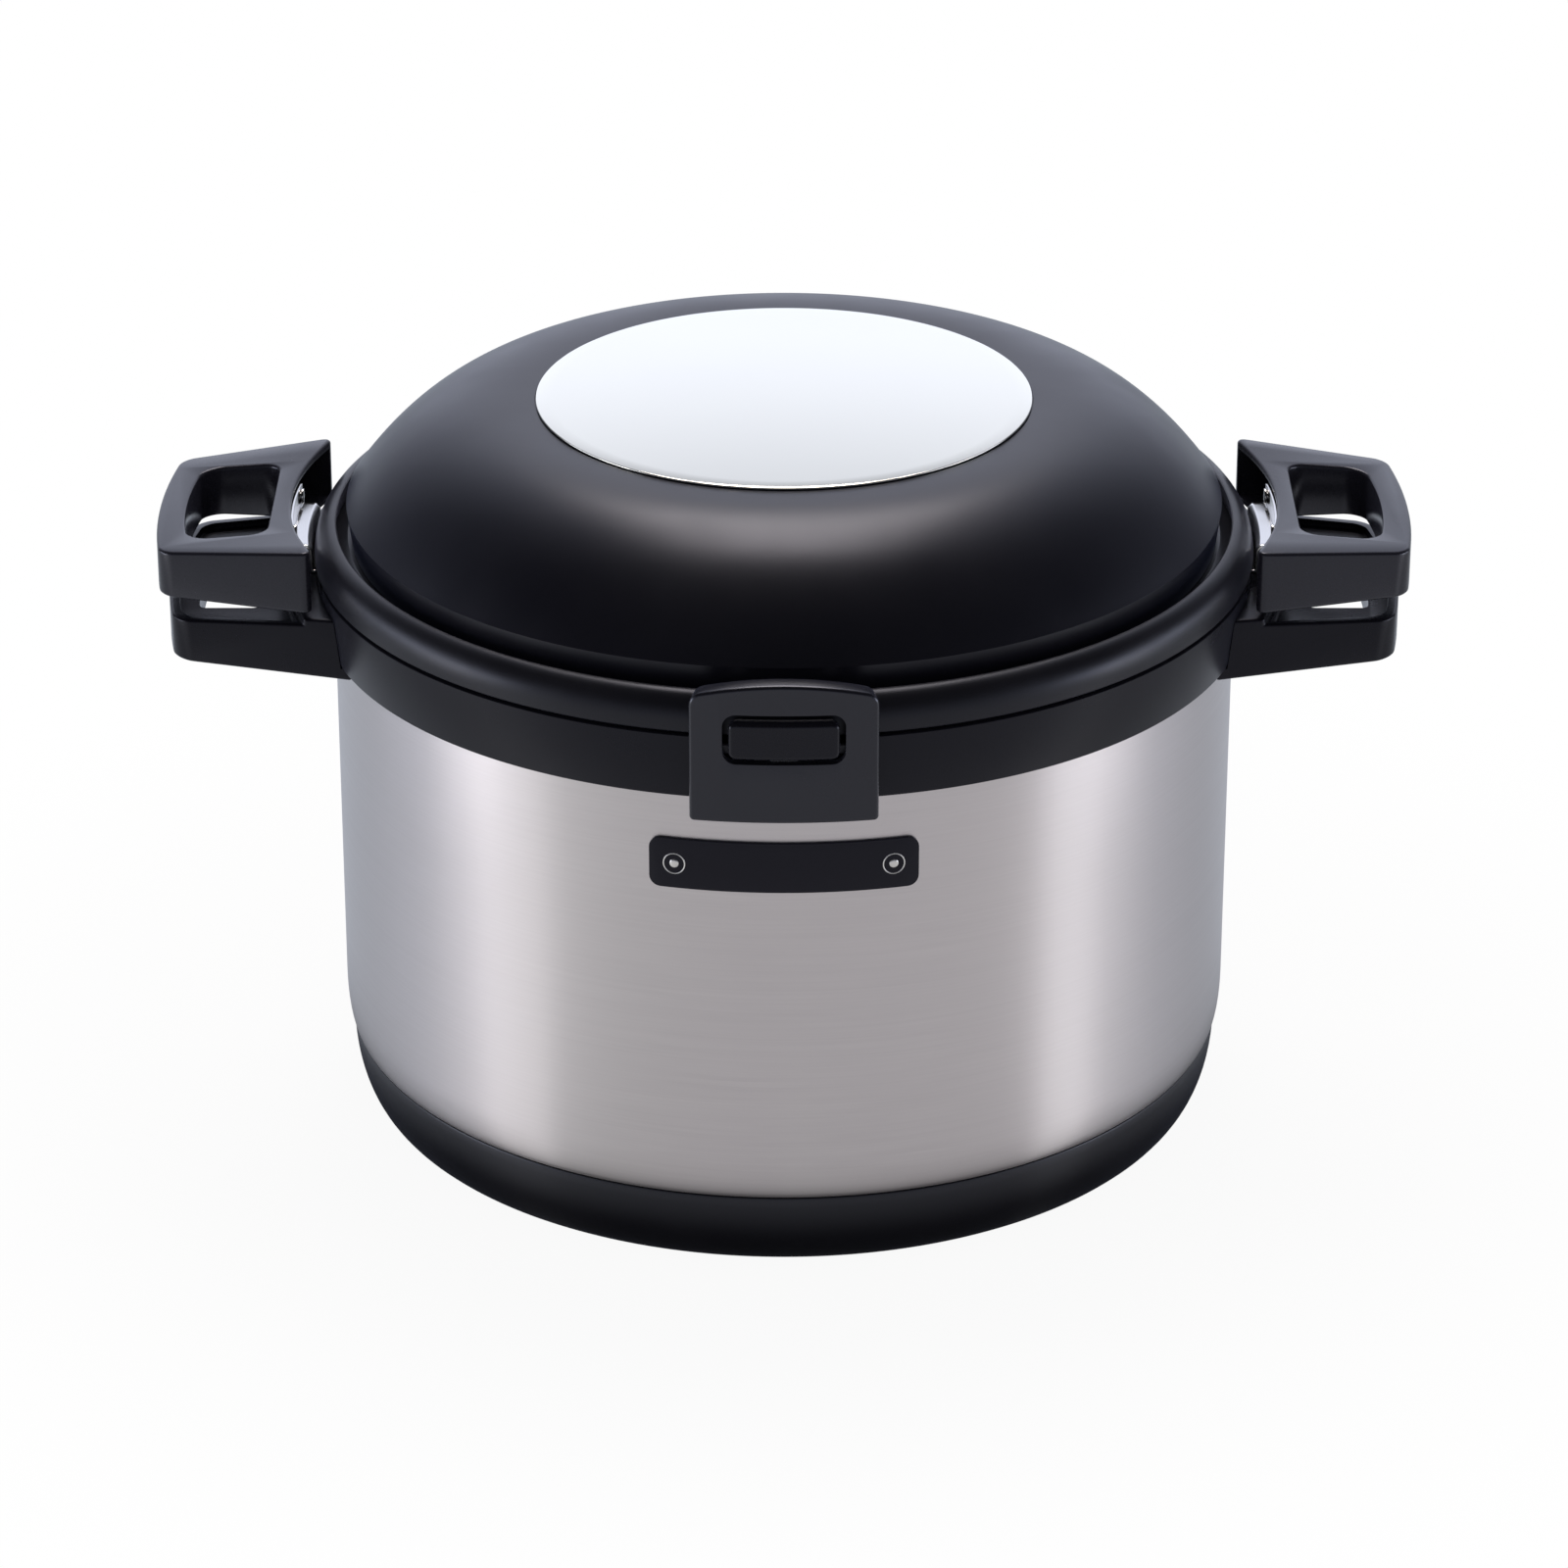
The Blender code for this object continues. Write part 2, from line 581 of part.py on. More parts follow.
def screws(name, places, finish, head_radius=SCREW_HEAD_RADIUS, radius=SCREW_RADIUS):
    """Headed screws, one object each: a place is (head end, under the head, tip, axis)."""
    for number, (head_end, shoulder, tip, axis) in enumerate(places, start=1):
        along = {"X": 0, "Y": 1, "Z": 2}[axis]
        shape = bmesh.new()
        add_rod(shape, head_radius, head_end, shoulder, axis)
        bmesh.ops.recalc_face_normals(shape, faces=shape.faces)
        inward = 1.0 if tip[along] > shoulder[along] else -1.0
        face = max(shape.faces, key=lambda item: inward * item.calc_center_median()[along])
        bmesh.ops.inset_region(shape, faces=[face], thickness=head_radius - radius)
        shank = bmesh.ops.extrude_discrete_faces(shape, faces=[face])["faces"]
        shift = [0.0, 0.0, 0.0]
        shift[along] = tip[along] - shoulder[along]
        bmesh.ops.translate(shape, verts=shank[0].verts, vec=shift)
        bmesh.ops.remove_doubles(shape, verts=shape.verts, dist=WELD_DISTANCE)
        label = "%s_%d" % (name, number) if len(places) > 1 else name
        mesh = bpy.data.meshes.new(label)
        shape.to_mesh(mesh)
        shape.free()
        smooth_round_faces(mesh)
        add_object(label, mesh, finish)


def twin(source, name, finish):
    """The same piece on the other side of the cooker: half a turn about the vessel's axis."""
    bpy.context.view_layer.update()
    mesh = evaluated_mesh(source)
    mesh.transform(Matrix.Rotation(math.pi, 4, "Z"))
    return add_object(name, mesh, finish)


def arc(centre, radii, start, end, steps):
    """Points on an ellipse's arc, its angles in degrees."""
    points = []
    for index in range(steps + 1):
        angle = math.radians(start + (end - start) * index / steps)
        points.append((centre[0] + radii[0] * math.cos(angle), centre[1] + radii[1] * math.sin(angle)))
    return points


def round_corners(corners):
    """An outline of (x, y, radius) corners with each corner rounded; a radius of zero keeps the point."""
    outline = []
    count = len(corners)
    for index, (x, y, radius) in enumerate(corners):
        if not radius:
            outline.append((x, y))
            continue
        before = corners[index - 1]
        after = corners[(index + 1) % count]
        back = (before[0] - x, before[1] - y)
        ahead = (after[0] - x, after[1] - y)
        back_length = math.hypot(*back)
        ahead_length = math.hypot(*ahead)
        back = (back[0] / back_length, back[1] / back_length)
        ahead = (ahead[0] / ahead_length, ahead[1] / ahead_length)
        half = math.acos(max(-1.0, min(1.0, back[0] * ahead[0] + back[1] * ahead[1]))) / 2.0
        reach = min(radius / math.tan(half), back_length, ahead_length)
        fitted = reach * math.tan(half)
        middle = (back[0] + ahead[0], back[1] + ahead[1])
        scale = fitted / math.sin(half) / math.hypot(*middle)
        centre = (x + middle[0] * scale, y + middle[1] * scale)
        first = math.atan2(y + back[1] * reach - centre[1], x + back[0] * reach - centre[0])
        last = math.atan2(y + ahead[1] * reach - centre[1], x + ahead[0] * reach - centre[0])
        sweep = (last - first + math.pi) % (2.0 * math.pi) - math.pi
        for step in range(CORNER_STEPS + 1):
            angle = first + sweep * step / CORNER_STEPS
            outline.append((centre[0] + fitted * math.cos(angle), centre[1] + fitted * math.sin(angle)))
    return outline


def rounded_rectangle(half_width, half_height, centre_height, radius):
    low = centre_height - half_height
    high = centre_height + half_height
    return round_corners([
        (-half_width, low, radius), (half_width, low, radius),
        (half_width, high, radius), (-half_width, high, radius)])


# Surfaces that several pieces follow


def shoulder_arc(gap, steps=2):
    """The shell's shoulder from its mouth out to the wall, moved out by a gap."""
    centre = (MOUTH_RADIUS, SHOULDER_Z)
    radii = (BODY_RADIUS - MOUTH_RADIUS + gap, MOUTH_Z - SHOULDER_Z + gap)
    return arc(centre, radii, 90.0, 0.0, steps)


def ring_arc(gap):
    """The lid ring's rounded outer surface, from its top inner edge down to its side, moved out by a gap."""
    side_z = COLLAR_TOP_Z + SEAM_GAP + RING_SIDE_HEIGHT
    centre = (RING_TOP_RADIUS, side_z)
    radii = (COLLAR_TOP_RADIUS - RING_TOP_RADIUS + gap, RING_TOP_Z - side_z + gap)
    return arc(centre, radii, 90.0, 0.0, RING_ARC_STEPS)


def collar_envelope(name, outer_radius, top_z):
    """A turned body from the shell's and collar's outside out to a radius, which wrapped pieces are cut from."""
    low_z = SHELL_STEP_Z
    return turned(name, [
        (outer_radius, top_z + OVERRUN),
        (outer_radius, low_z),
        (BODY_RADIUS + FIT_GAP, low_z),
        (BODY_RADIUS + FIT_GAP, COLLAR_LOW_Z - FIT_GAP),
        (COLLAR_LOW_RADIUS + FIT_GAP, COLLAR_LOW_Z - FIT_GAP),
        (COLLAR_TOP_RADIUS + FIT_GAP, COLLAR_TOP_Z),
        (COLLAR_TOP_RADIUS + FIT_GAP, top_z + OVERRUN),
    ], None)


# Vessel


def make_outer_shell():
    foot = SHELL_STEP_Z - SHELL_DRAW_IN / 4.0
    step_radius = BODY_RADIUS - SHELL_DRAW_IN
    neck_radius = step_radius - SHELL_STEP_DEPTH
    draw_z = SHELL_STEP_Z + SHELL_DRAW_HEIGHT
    curve = arc((step_radius, draw_z), (SHELL_DRAW_IN, SHELL_DRAW_HEIGHT), 0.0, -90.0, 2)
    corner = arc((SHELL_FOOT_RADIUS, foot), (neck_radius - SHELL_FOOT_RADIUS, foot - SHELL_FOOT_Z), 0.0, -90.0, 1)
    points = shoulder_arc(0.0) + curve + corner + [(0.0, SHELL_FOOT_Z)]
    return turned("outer_shell", points, "brushed_steel", closed=False, sheet=SHELL_SHEET)


def make_inner_liner():
    outer = LINER_RADIUS + LINER_SHEET
    bend = outer - LINER_CORNER
    corner = arc((bend, LINER_FLOOR_Z + LINER_CORNER), (LINER_CORNER, LINER_CORNER), 0.0, -90.0, 2)
    lip = [(MOUTH_RADIUS - FIT_GAP, MOUTH_Z), (outer, MOUTH_Z - LINER_LIP_HEIGHT)]
    return turned("inner_liner", lip + corner + [(0.0, LINER_FLOOR_Z)], "polished_steel", closed=False,
                  sheet=LINER_SHEET)


def make_base_cup():
    top_z = SHELL_STEP_Z - FIT_GAP
    outer = BODY_RADIUS - SHELL_DRAW_IN + CUP_OUTER_STEP
    side = arc((CUP_BOTTOM_RADIUS, top_z - CUP_RIM_ROUND),
               (outer - CUP_BOTTOM_RADIUS, top_z - CUP_RIM_ROUND - CUP_BOTTOM_Z), 0.0, -90.0, 3)
    seat_out = FOOT_RADIUS + FOOT_WIDTH / 2.0 + FIT_GAP
    seat_in = FOOT_RADIUS - FOOT_WIDTH / 2.0 - FIT_GAP
    seat_z = CUP_BOTTOM_Z + FOOT_SEAT_DEPTH
    points = [(outer - CUP_RIM_ROUND, top_z)] + side + [
        (seat_out, CUP_BOTTOM_Z), (seat_out, seat_z), (seat_in, seat_z), (seat_in, CUP_BOTTOM_Z), (0.0, CUP_BOTTOM_Z)]
    return turned("base_cup", points, "satin_black", closed=False, sheet=CUP_WALL)


def make_foot_ring():
    out = FOOT_RADIUS + FOOT_WIDTH / 2.0
    inside = FOOT_RADIUS - FOOT_WIDTH / 2.0
    top = CUP_BOTTOM_Z + FOOT_SEAT_DEPTH - FIT_GAP
    return turned("foot_ring", [(out, top), (out, 0.0), (inside, 0.0), (inside, top)], "rubber")


def make_vacuum_seal_cap():
    top = SHELL_FOOT_Z - FIT_GAP
    low = CUP_BOTTOM_Z + CUP_WALL + FIT_GAP
    return turned("vacuum_seal_cap", [(0.0, top), (SEAL_CAP_RADIUS, top), (SEAL_CAP_RADIUS, low), (0.0, low)],
                  "polished_steel", closed=False, steps=SEAL_CAP_STEPS)


def pot_notch_cutter():
    floor = COLLAR_TOP_Z - NOTCH_DEPTH
    out = COLLAR_TOP_RADIUS + OVERRUN
    return box("collar_notch_cutter", (-out, -NOTCH_HALF_WIDTH, floor), (out, NOTCH_HALF_WIDTH, COLLAR_TOP_Z + OVERRUN))


def lug_ends():
    reach = COLLAR_TOP_RADIUS + LUG_LENGTH
    return reach, LUG_LOW_Z, LUG_LOW_Z + LUG_HEIGHT


def carry_screw_places():
    reach = lug_ends()[0]
    across = (COLLAR_TOP_RADIUS + reach) / 2.0 - SCREW_RADIUS
    return [(across, -CARRY_SCREW_PITCH / 2.0), (across, CARRY_SCREW_PITCH / 2.0)]


def make_collar_ring():
    shoulder = shoulder_arc(FIT_GAP)
    shoulder.reverse()
    points = [
        (COLLAR_TOP_RADIUS - COLLAR_EDGE, COLLAR_TOP_Z),
        (COLLAR_TOP_RADIUS, COLLAR_TOP_Z - COLLAR_EDGE),
        (COLLAR_LOW_RADIUS, COLLAR_LOW_Z + COLLAR_EDGE),
        (COLLAR_LOW_RADIUS - COLLAR_EDGE, COLLAR_LOW_Z),
        (BODY_RADIUS + FIT_GAP, COLLAR_LOW_Z),
    ] + shoulder + [
        (MOUTH_RADIUS, MOUTH_Z + LINER_SHEET + FIT_GAP),
        (COLLAR_BORE_RADIUS, MOUTH_Z + LINER_SHEET + FIT_GAP),
        (COLLAR_BORE_RADIUS, COLLAR_TOP_Z - COLLAR_EDGE),
        (COLLAR_BORE_RADIUS + COLLAR_EDGE, COLLAR_TOP_Z),
    ]
    collar = turned("collar_ring", points, "satin_black")
    reach, lug_low, lug_top = lug_ends()
    root = BODY_RADIUS + FIT_GAP + COLLAR_EDGE
    lugs = box("collar_lugs", (-reach, -LUG_HALF_WIDTH, lug_low), (reach, LUG_HALF_WIDTH, lug_top))
    core = turned("collar_lug_core", [
        (root, lug_top + OVERRUN), (root, lug_low - OVERRUN), (0.0, lug_low - OVERRUN), (0.0, lug_top + OVERRUN)],
        None, closed=True)
    cut(lugs, core)
    fuse(collar, lugs)
    latch_pocket = box("collar_latch_pocket", (-POCKET_HALF_WIDTH, -COLLAR_TOP_RADIUS - OVERRUN, POCKET_LOW_Z),
                       (POCKET_HALF_WIDTH, -POCKET_INNER_Y, COLLAR_TOP_Z + OVERRUN))
    hinge_low = HINGE_SADDLE_Z
    hinge_pocket = box("collar_hinge_pocket", (-HINGE_ARM_HALF - FIT_GAP, COLLAR_TOP_RADIUS - HINGE_POCKET_DEPTH, hinge_low),
                       (HINGE_ARM_HALF + FIT_GAP, COLLAR_TOP_RADIUS + OVERRUN, COLLAR_TOP_Z + OVERRUN))
    holes = []
    for across, along in carry_screw_places():
        for side in (-1.0, 1.0):
            holes.append((SCREW_RADIUS + FIT_GAP, (side * across, along, lug_low - OVERRUN),
                          (side * across, along, lug_top + OVERRUN), "Z"))
    for side in (-1.0, 1.0):
        holes.append((SCREW_RADIUS + FIT_GAP, (side * HINGE_SCREW_X, BODY_RADIUS - OVERRUN, HINGE_SCREW_Z),
                      (side * HINGE_SCREW_X, COLLAR_TOP_RADIUS + OVERRUN, HINGE_SCREW_Z), "Y"))
    cut(collar, pot_notch_cutter(), latch_pocket, hinge_pocket, rods("collar_screw_holes", holes))
    return collar


def handle_outline(root_points, reach):
    """A loop handle seen from above: its root edge, two straight sides and a bowed tip."""
    tip = reach - HANDLE_TIP_BOW
    chord = HANDLE_TIP_HALF - HANDLE_TIP_ROUND
    bow_radius = (chord * chord + HANDLE_TIP_BOW * HANDLE_TIP_BOW) / (2.0 * HANDLE_TIP_BOW)
    centre = reach - bow_radius
    spread = math.degrees(math.asin(chord / bow_radius))
    bow = [(x, y, 0.0) for x, y in arc((centre, 0.0), (bow_radius, bow_radius), -spread, spread, BOW_STEPS)]
    corners = root_points + [(tip, -HANDLE_TIP_HALF, HANDLE_TIP_ROUND)] + bow + [(tip, HANDLE_TIP_HALF, HANDLE_TIP_ROUND)]
    return round_corners(corners)


def concave_root(radius, half_width, edge_round):
    """Points down a root edge that follows the vessel, from its +Y corner to its -Y corner."""
    spread = math.degrees(math.asin(half_width / radius))
    points = arc((0.0, 0.0), (radius, radius), spread, -spread, ROOT_STEPS)
    rounded = [(x, y, 0.0) for x, y in points]
    rounded[0] = points[0] + (edge_round,)
    rounded[-1] = points[-1] + (edge_round,)
    return rounded


def window_outline(start, end, half, bow):
    chord = half - WINDOW_ROUND
    bow_radius = (chord * chord + bow * bow) / (2.0 * bow)
    spread = math.degrees(math.asin(chord / bow_radius))
    outer = arc((end - bow_radius, 0.0), (bow_radius, bow_radius), -spread, spread, BOW_STEPS // 2)
    corners = [(start, half, WINDOW_ROUND), (start, -half, WINDOW_ROUND), (end - bow, -half, WINDOW_ROUND)]
    corners += [(x, y, 0.0) for x, y in outer] + [(end - bow, half, WINDOW_ROUND)]
    return round_corners(corners)


def slope_faces(mesh, low_z, high_z, low_at, high_at):
    """Moves a level slab's faces to heights that change along X."""
    for vertex in mesh.vertices:
        share = (vertex.co.z - low_z) / (high_z - low_z)
        low = low_at(vertex.co.x)
        high = high_at(vertex.co.x)
        vertex.co.z = low + (high - low) * share


def ramp(start_x, end_x, start_value, end_value):
    def value(x):
        return start_value + (end_value - start_value) * (x - start_x) / (end_x - start_x)
    return value


def make_carry_handles():
    root_radius = BODY_RADIUS
    outline = handle_outline(concave_root(root_radius, HANDLE_ROOT_HALF, 0.0), CARRY_REACH)
    height = CARRY_TOP_Z - CARRY_LOW_Z
    handle = plate("carry_handle_right", [outline], height, "satin_black", level(CARRY_LOW_Z + height / 2.0))
    top_at = ramp(COLLAR_TOP_RADIUS, CARRY_REACH, CARRY_TOP_Z, CARRY_TOP_Z - CARRY_TOP_FALL)
    low_at = ramp(root_radius, CARRY_REACH, CARRY_LOW_Z, CARRY_LOW_Z + CARRY_LOW_RISE)
    slope_faces(handle.data, CARRY_LOW_Z, CARRY_TOP_Z, low_at, top_at)
    add_bevel(handle, HANDLE_EDGE)
    band_out = COLLAR_TOP_RADIUS + CARRY_BAND_WIDTH
    band_points = concave_root(root_radius, HANDLE_ROOT_HALF, 0.0)
    band_back = concave_root(band_out, HANDLE_ROOT_HALF, HANDLE_EDGE)
    band_back.reverse()
    band_height = CARRY_BAND_TOP_Z - CARRY_LOW_Z - HANDLE_EDGE
    band = plate("carry_band", [round_corners(band_points + band_back)], band_height, None,
                 level(CARRY_BAND_TOP_Z - band_height / 2.0))
    add_bevel(band, HANDLE_EDGE / 2.0, 1)
    tray_start = band_out + CARRY_RIM_WIDTH / 4.0
    tray_corners = handle_outline([
        (tray_start, HANDLE_ROOT_HALF - CARRY_RIM_WIDTH, HANDLE_ROOT_ROUND),
        (tray_start, -HANDLE_ROOT_HALF + CARRY_RIM_WIDTH, HANDLE_ROOT_ROUND)], CARRY_REACH)
    shrink = (HANDLE_TIP_HALF - CARRY_RIM_WIDTH) / HANDLE_TIP_HALF
    reach_in = CARRY_REACH - CARRY_RIM_WIDTH
    tray_corners = [(min(x, reach_in - (CARRY_REACH - x) / 2.0), y * shrink) for x, y in tray_corners]
    tray_floor = CARRY_TOP_Z - CARRY_TOP_FALL - CARRY_TRAY_DEPTH
    tray = plate("carry_tray", [tray_corners], 2.0 * OVERRUN, None, level(tray_floor + OVERRUN))
    window = plate("carry_window", [window_outline(CARRY_WINDOW_START, CARRY_WINDOW_END, CARRY_WINDOW_HALF, WINDOW_BOW)],
                   2.0 * height, None, level(CARRY_LOW_Z + height / 2.0))
    reach, lug_low, lug_top = lug_ends()
    pocket = box("carry_lug_pocket", (BODY_RADIUS, -LUG_HALF_WIDTH - FIT_GAP, CARRY_LOW_Z - OVERRUN),
                 (reach + FIT_GAP, LUG_HALF_WIDTH + FIT_GAP, lug_top + FIT_GAP))
    tip_z = lug_top + CARRY_SCREW_BITE + FIT_GAP
    holes = rods("carry_screw_holes", [
        (SCREW_RADIUS + FIT_GAP, (across, along, lug_low), (across, along, tip_z), "Z")
        for across, along in carry_screw_places()])
    fuse(handle, band)
    add_boolean(handle, collar_envelope("carry_envelope", CARRY_REACH + OVERRUN, CARRY_BAND_TOP_Z), "INTERSECT")
    cut(handle, tray, window, pocket, holes)
    twin(handle, "carry_handle_left", "satin_black")
    places = []
    for across, along in carry_screw_places():
        for side in (-1.0, 1.0):
            head = lug_low - FIT_GAP - SCREW_HEAD_HEIGHT
            places.append(((side * across, along, head), (side * across, along, lug_low - FIT_GAP),
                           (side * across, along, lug_top + CARRY_SCREW_BITE), "Z"))
    screws("carry_handle_screw", places, "polished_steel")
    return handle


def make_badge():
    radius = BODY_RADIUS + FIT_GAP
    depth = BODY_RADIUS
    badge = plate("badge_plate", [rounded_rectangle(BADGE_HALF_WIDTH, BADGE_HALF_HEIGHT, BADGE_Z, BADGE_ROUND)],
                  depth, "badge_black", upright(-depth / 2.0 - BADGE_HALF_WIDTH))
    high = BADGE_Z + BADGE_HALF_HEIGHT + OVERRUN
    low = BADGE_Z - BADGE_HALF_HEIGHT - OVERRUN
    curve = turned("badge_curve", [
        (radius + BADGE_THICKNESS, high), (radius + BADGE_THICKNESS, low), (radius, low), (radius, high)], None)
    add_boolean(badge, curve, "INTERSECT")
    face = radius + BADGE_THICKNESS
    for number, side in enumerate((-1.0, 1.0), start=1):
        turn = Matrix.Rotation(side * STUD_ANGLE, 4, "Z")
        cut(badge, stud("badge_hole_%d" % number, STUD_RADIUS + FIT_GAP, radius - OVERRUN, face + OVERRUN, turn, None))
        stud("badge_stud_%d" % number, STUD_RADIUS, radius, face + STUD_PROUD, turn, "polished_steel")
    return badge


def stud(name, radius, start, end, turn, finish):
    shape = bmesh.new()
    add_rod(shape, radius, (0.0, -start, BADGE_Z), (0.0, -end, BADGE_Z), "Y")
    bmesh.ops.transform(shape, verts=shape.verts, matrix=turn)
    bmesh.ops.recalc_face_normals(shape, faces=shape.faces)
    mesh = bpy.data.meshes.new(name)
    shape.to_mesh(mesh)
    shape.free()
    smooth_round_faces(mesh)
    return add_object(name, mesh, finish)


# Latch


def latch_outline():
    """The housing's face: straight sides, rounded top corners and an arched top."""
    arch_centre = LATCH_CORNER_Z + LATCH_ARCH
    radius = (LATCH_HALF_WIDTH ** 2 + LATCH_ARCH ** 2) / (2.0 * LATCH_ARCH)
    inner = LATCH_HALF_WIDTH - LATCH_ROUND
    spread = math.degrees(math.asin(inner / radius))
    arch = arc((0.0, arch_centre - radius), (radius, radius), 90.0 - spread, 90.0 + spread, ROOT_STEPS)
    corners = [(-LATCH_HALF_WIDTH, LATCH_LOW_Z, LATCH_EDGE), (LATCH_HALF_WIDTH, LATCH_LOW_Z, LATCH_EDGE),
               (LATCH_HALF_WIDTH, LATCH_CORNER_Z, LATCH_ROUND)]
    corners += [(x, z, 0.0) for x, z in arch] + [(-LATCH_HALF_WIDTH, LATCH_CORNER_Z, LATCH_ROUND)]
    return round_corners(corners)


def button_wall_y():
    """The inner face of the housing's front wall, where the button's tabs rest."""
    return LATCH_RADIUS - LATCH_WALL


def make_latch_housing():
    depth = LATCH_RADIUS / 4.0
    housing = plate("latch_housing", [latch_outline()], depth, "satin_black", upright(-LATCH_RADIUS + depth / 4.0))
    envelope = turned("latch_envelope", [
        (LATCH_RADIUS, LATCH_CORNER_Z + LATCH_ARCH + OVERRUN),
        (LATCH_RADIUS, LATCH_LOW_Z - OVERRUN),
        (BODY_RADIUS + FIT_GAP, LATCH_LOW_Z - OVERRUN),
        (BODY_RADIUS + FIT_GAP, COLLAR_LOW_Z - FIT_GAP),
        (COLLAR_LOW_RADIUS + FIT_GAP, COLLAR_LOW_Z - FIT_GAP),
        (COLLAR_TOP_RADIUS + FIT_GAP, COLLAR_TOP_Z),
        (LATCH_BACK_RADIUS, COLLAR_TOP_Z + FIT_GAP),
        (LATCH_BACK_RADIUS, LATCH_CORNER_Z + LATCH_ARCH + OVERRUN),
    ], None, steps=2 * ROUND_STEPS)
    add_boolean(housing, envelope, "INTERSECT")
    add_bevel(housing, LATCH_EDGE, 1)
    wall_y = button_wall_y()
    block_low = POCKET_LOW_Z + FIT_GAP
    block_top = BUTTON_Z - BUTTON_HALF_HEIGHT - BUTTON_GAP - 2.0 * FIT_GAP
    block_back = BODY_RADIUS + 3.0 * FIT_GAP
    block = box("latch_block", (-POCKET_HALF_WIDTH + FIT_GAP, -wall_y - FIT_GAP, block_low),
                (POCKET_HALF_WIDTH - FIT_GAP, -block_back, block_top))
    hook_cavity = box("latch_hook_cavity", (-HOOK_CAVITY_HALF, -wall_y, HOOK_PIN_Z - HOOK_BARREL_RADIUS - BUTTON_GAP),
                      (HOOK_CAVITY_HALF, -block_back + OVERRUN, block_top + OVERRUN))
    cavity_half = TAB_HALF_WIDTH + BUTTON_GAP
    button_cavity = box("latch_button_cavity", (-cavity_half, -wall_y, block_top),
                        (cavity_half, -block_back + OVERRUN, BUTTON_Z + BUTTON_HALF_HEIGHT + BUTTON_GAP))
    window = plate("latch_window", [rounded_rectangle(
        BUTTON_HALF_WIDTH + BUTTON_GAP, BUTTON_HALF_HEIGHT + BUTTON_GAP, BUTTON_Z, BUTTON_ROUND + BUTTON_GAP)],
        depth, None, upright(-LATCH_RADIUS))
    pin_hole = HOOK_PIN_HALF_LENGTH + FIT_GAP
    bore = rods("latch_pin_bore", [(HOOK_PIN_RADIUS + FIT_GAP, (-pin_hole, -HOOK_PIN_Y, HOOK_PIN_Z),
                                    (pin_hole, -HOOK_PIN_Y, HOOK_PIN_Z), "X")], steps=SMALL_STEPS)
    fuse(housing, block)
    cut(housing, hook_cavity, button_cavity, window, bore)
    rods("hook_pin", [(HOOK_PIN_RADIUS, (-HOOK_PIN_HALF_LENGTH, -HOOK_PIN_Y, HOOK_PIN_Z),
                       (HOOK_PIN_HALF_LENGTH, -HOOK_PIN_Y, HOOK_PIN_Z), "X")], "polished_steel", SMALL_STEPS)
    return housing


def make_release_button():
    front = LATCH_RADIUS + BUTTON_PROUD
    button = plate("release_button", [rounded_rectangle(BUTTON_HALF_WIDTH, BUTTON_HALF_HEIGHT, BUTTON_Z, BUTTON_ROUND)],
                   2.0 * BUTTON_DEPTH, "satin_black", upright(-front))
    curve = turned("button_curve", [
        (front, BUTTON_Z + BUTTON_HALF_HEIGHT + OVERRUN), (front, BUTTON_Z - BUTTON_HALF_HEIGHT - OVERRUN),
        (0.0, BUTTON_Z - BUTTON_HALF_HEIGHT - OVERRUN), (0.0, BUTTON_Z + BUTTON_HALF_HEIGHT + OVERRUN)],
        None, steps=2 * ROUND_STEPS)
    add_boolean(button, curve, "INTERSECT")
    add_bevel(button, BUTTON_EDGE)
    tab_front = button_wall_y() - FIT_GAP
    tab_back = tab_front - TAB_THICKNESS
    body_half = BUTTON_HALF_WIDTH - BUTTON_EDGE
    body = box("button_body", (-body_half, -front + BUTTON_DEPTH - FIT_GAP, TAB_LOW_Z + BUTTON_EDGE),
               (body_half, -tab_back - FIT_GAP, TAB_TOP_Z))
    tabs = box("button_tabs", (-TAB_HALF_WIDTH, -tab_front, TAB_LOW_Z), (TAB_HALF_WIDTH, -tab_back, TAB_TOP_Z))
    stem = box("button_stem", (-STEM_HALF_WIDTH, -tab_back - FIT_GAP, TAB_LOW_Z + FIT_GAP),
               (STEM_HALF_WIDTH, -HOOK_ARM_Y - FIT_GAP, TAB_TOP_Z - FIT_GAP))
    fuse(button, body, tabs, stem)
    return button


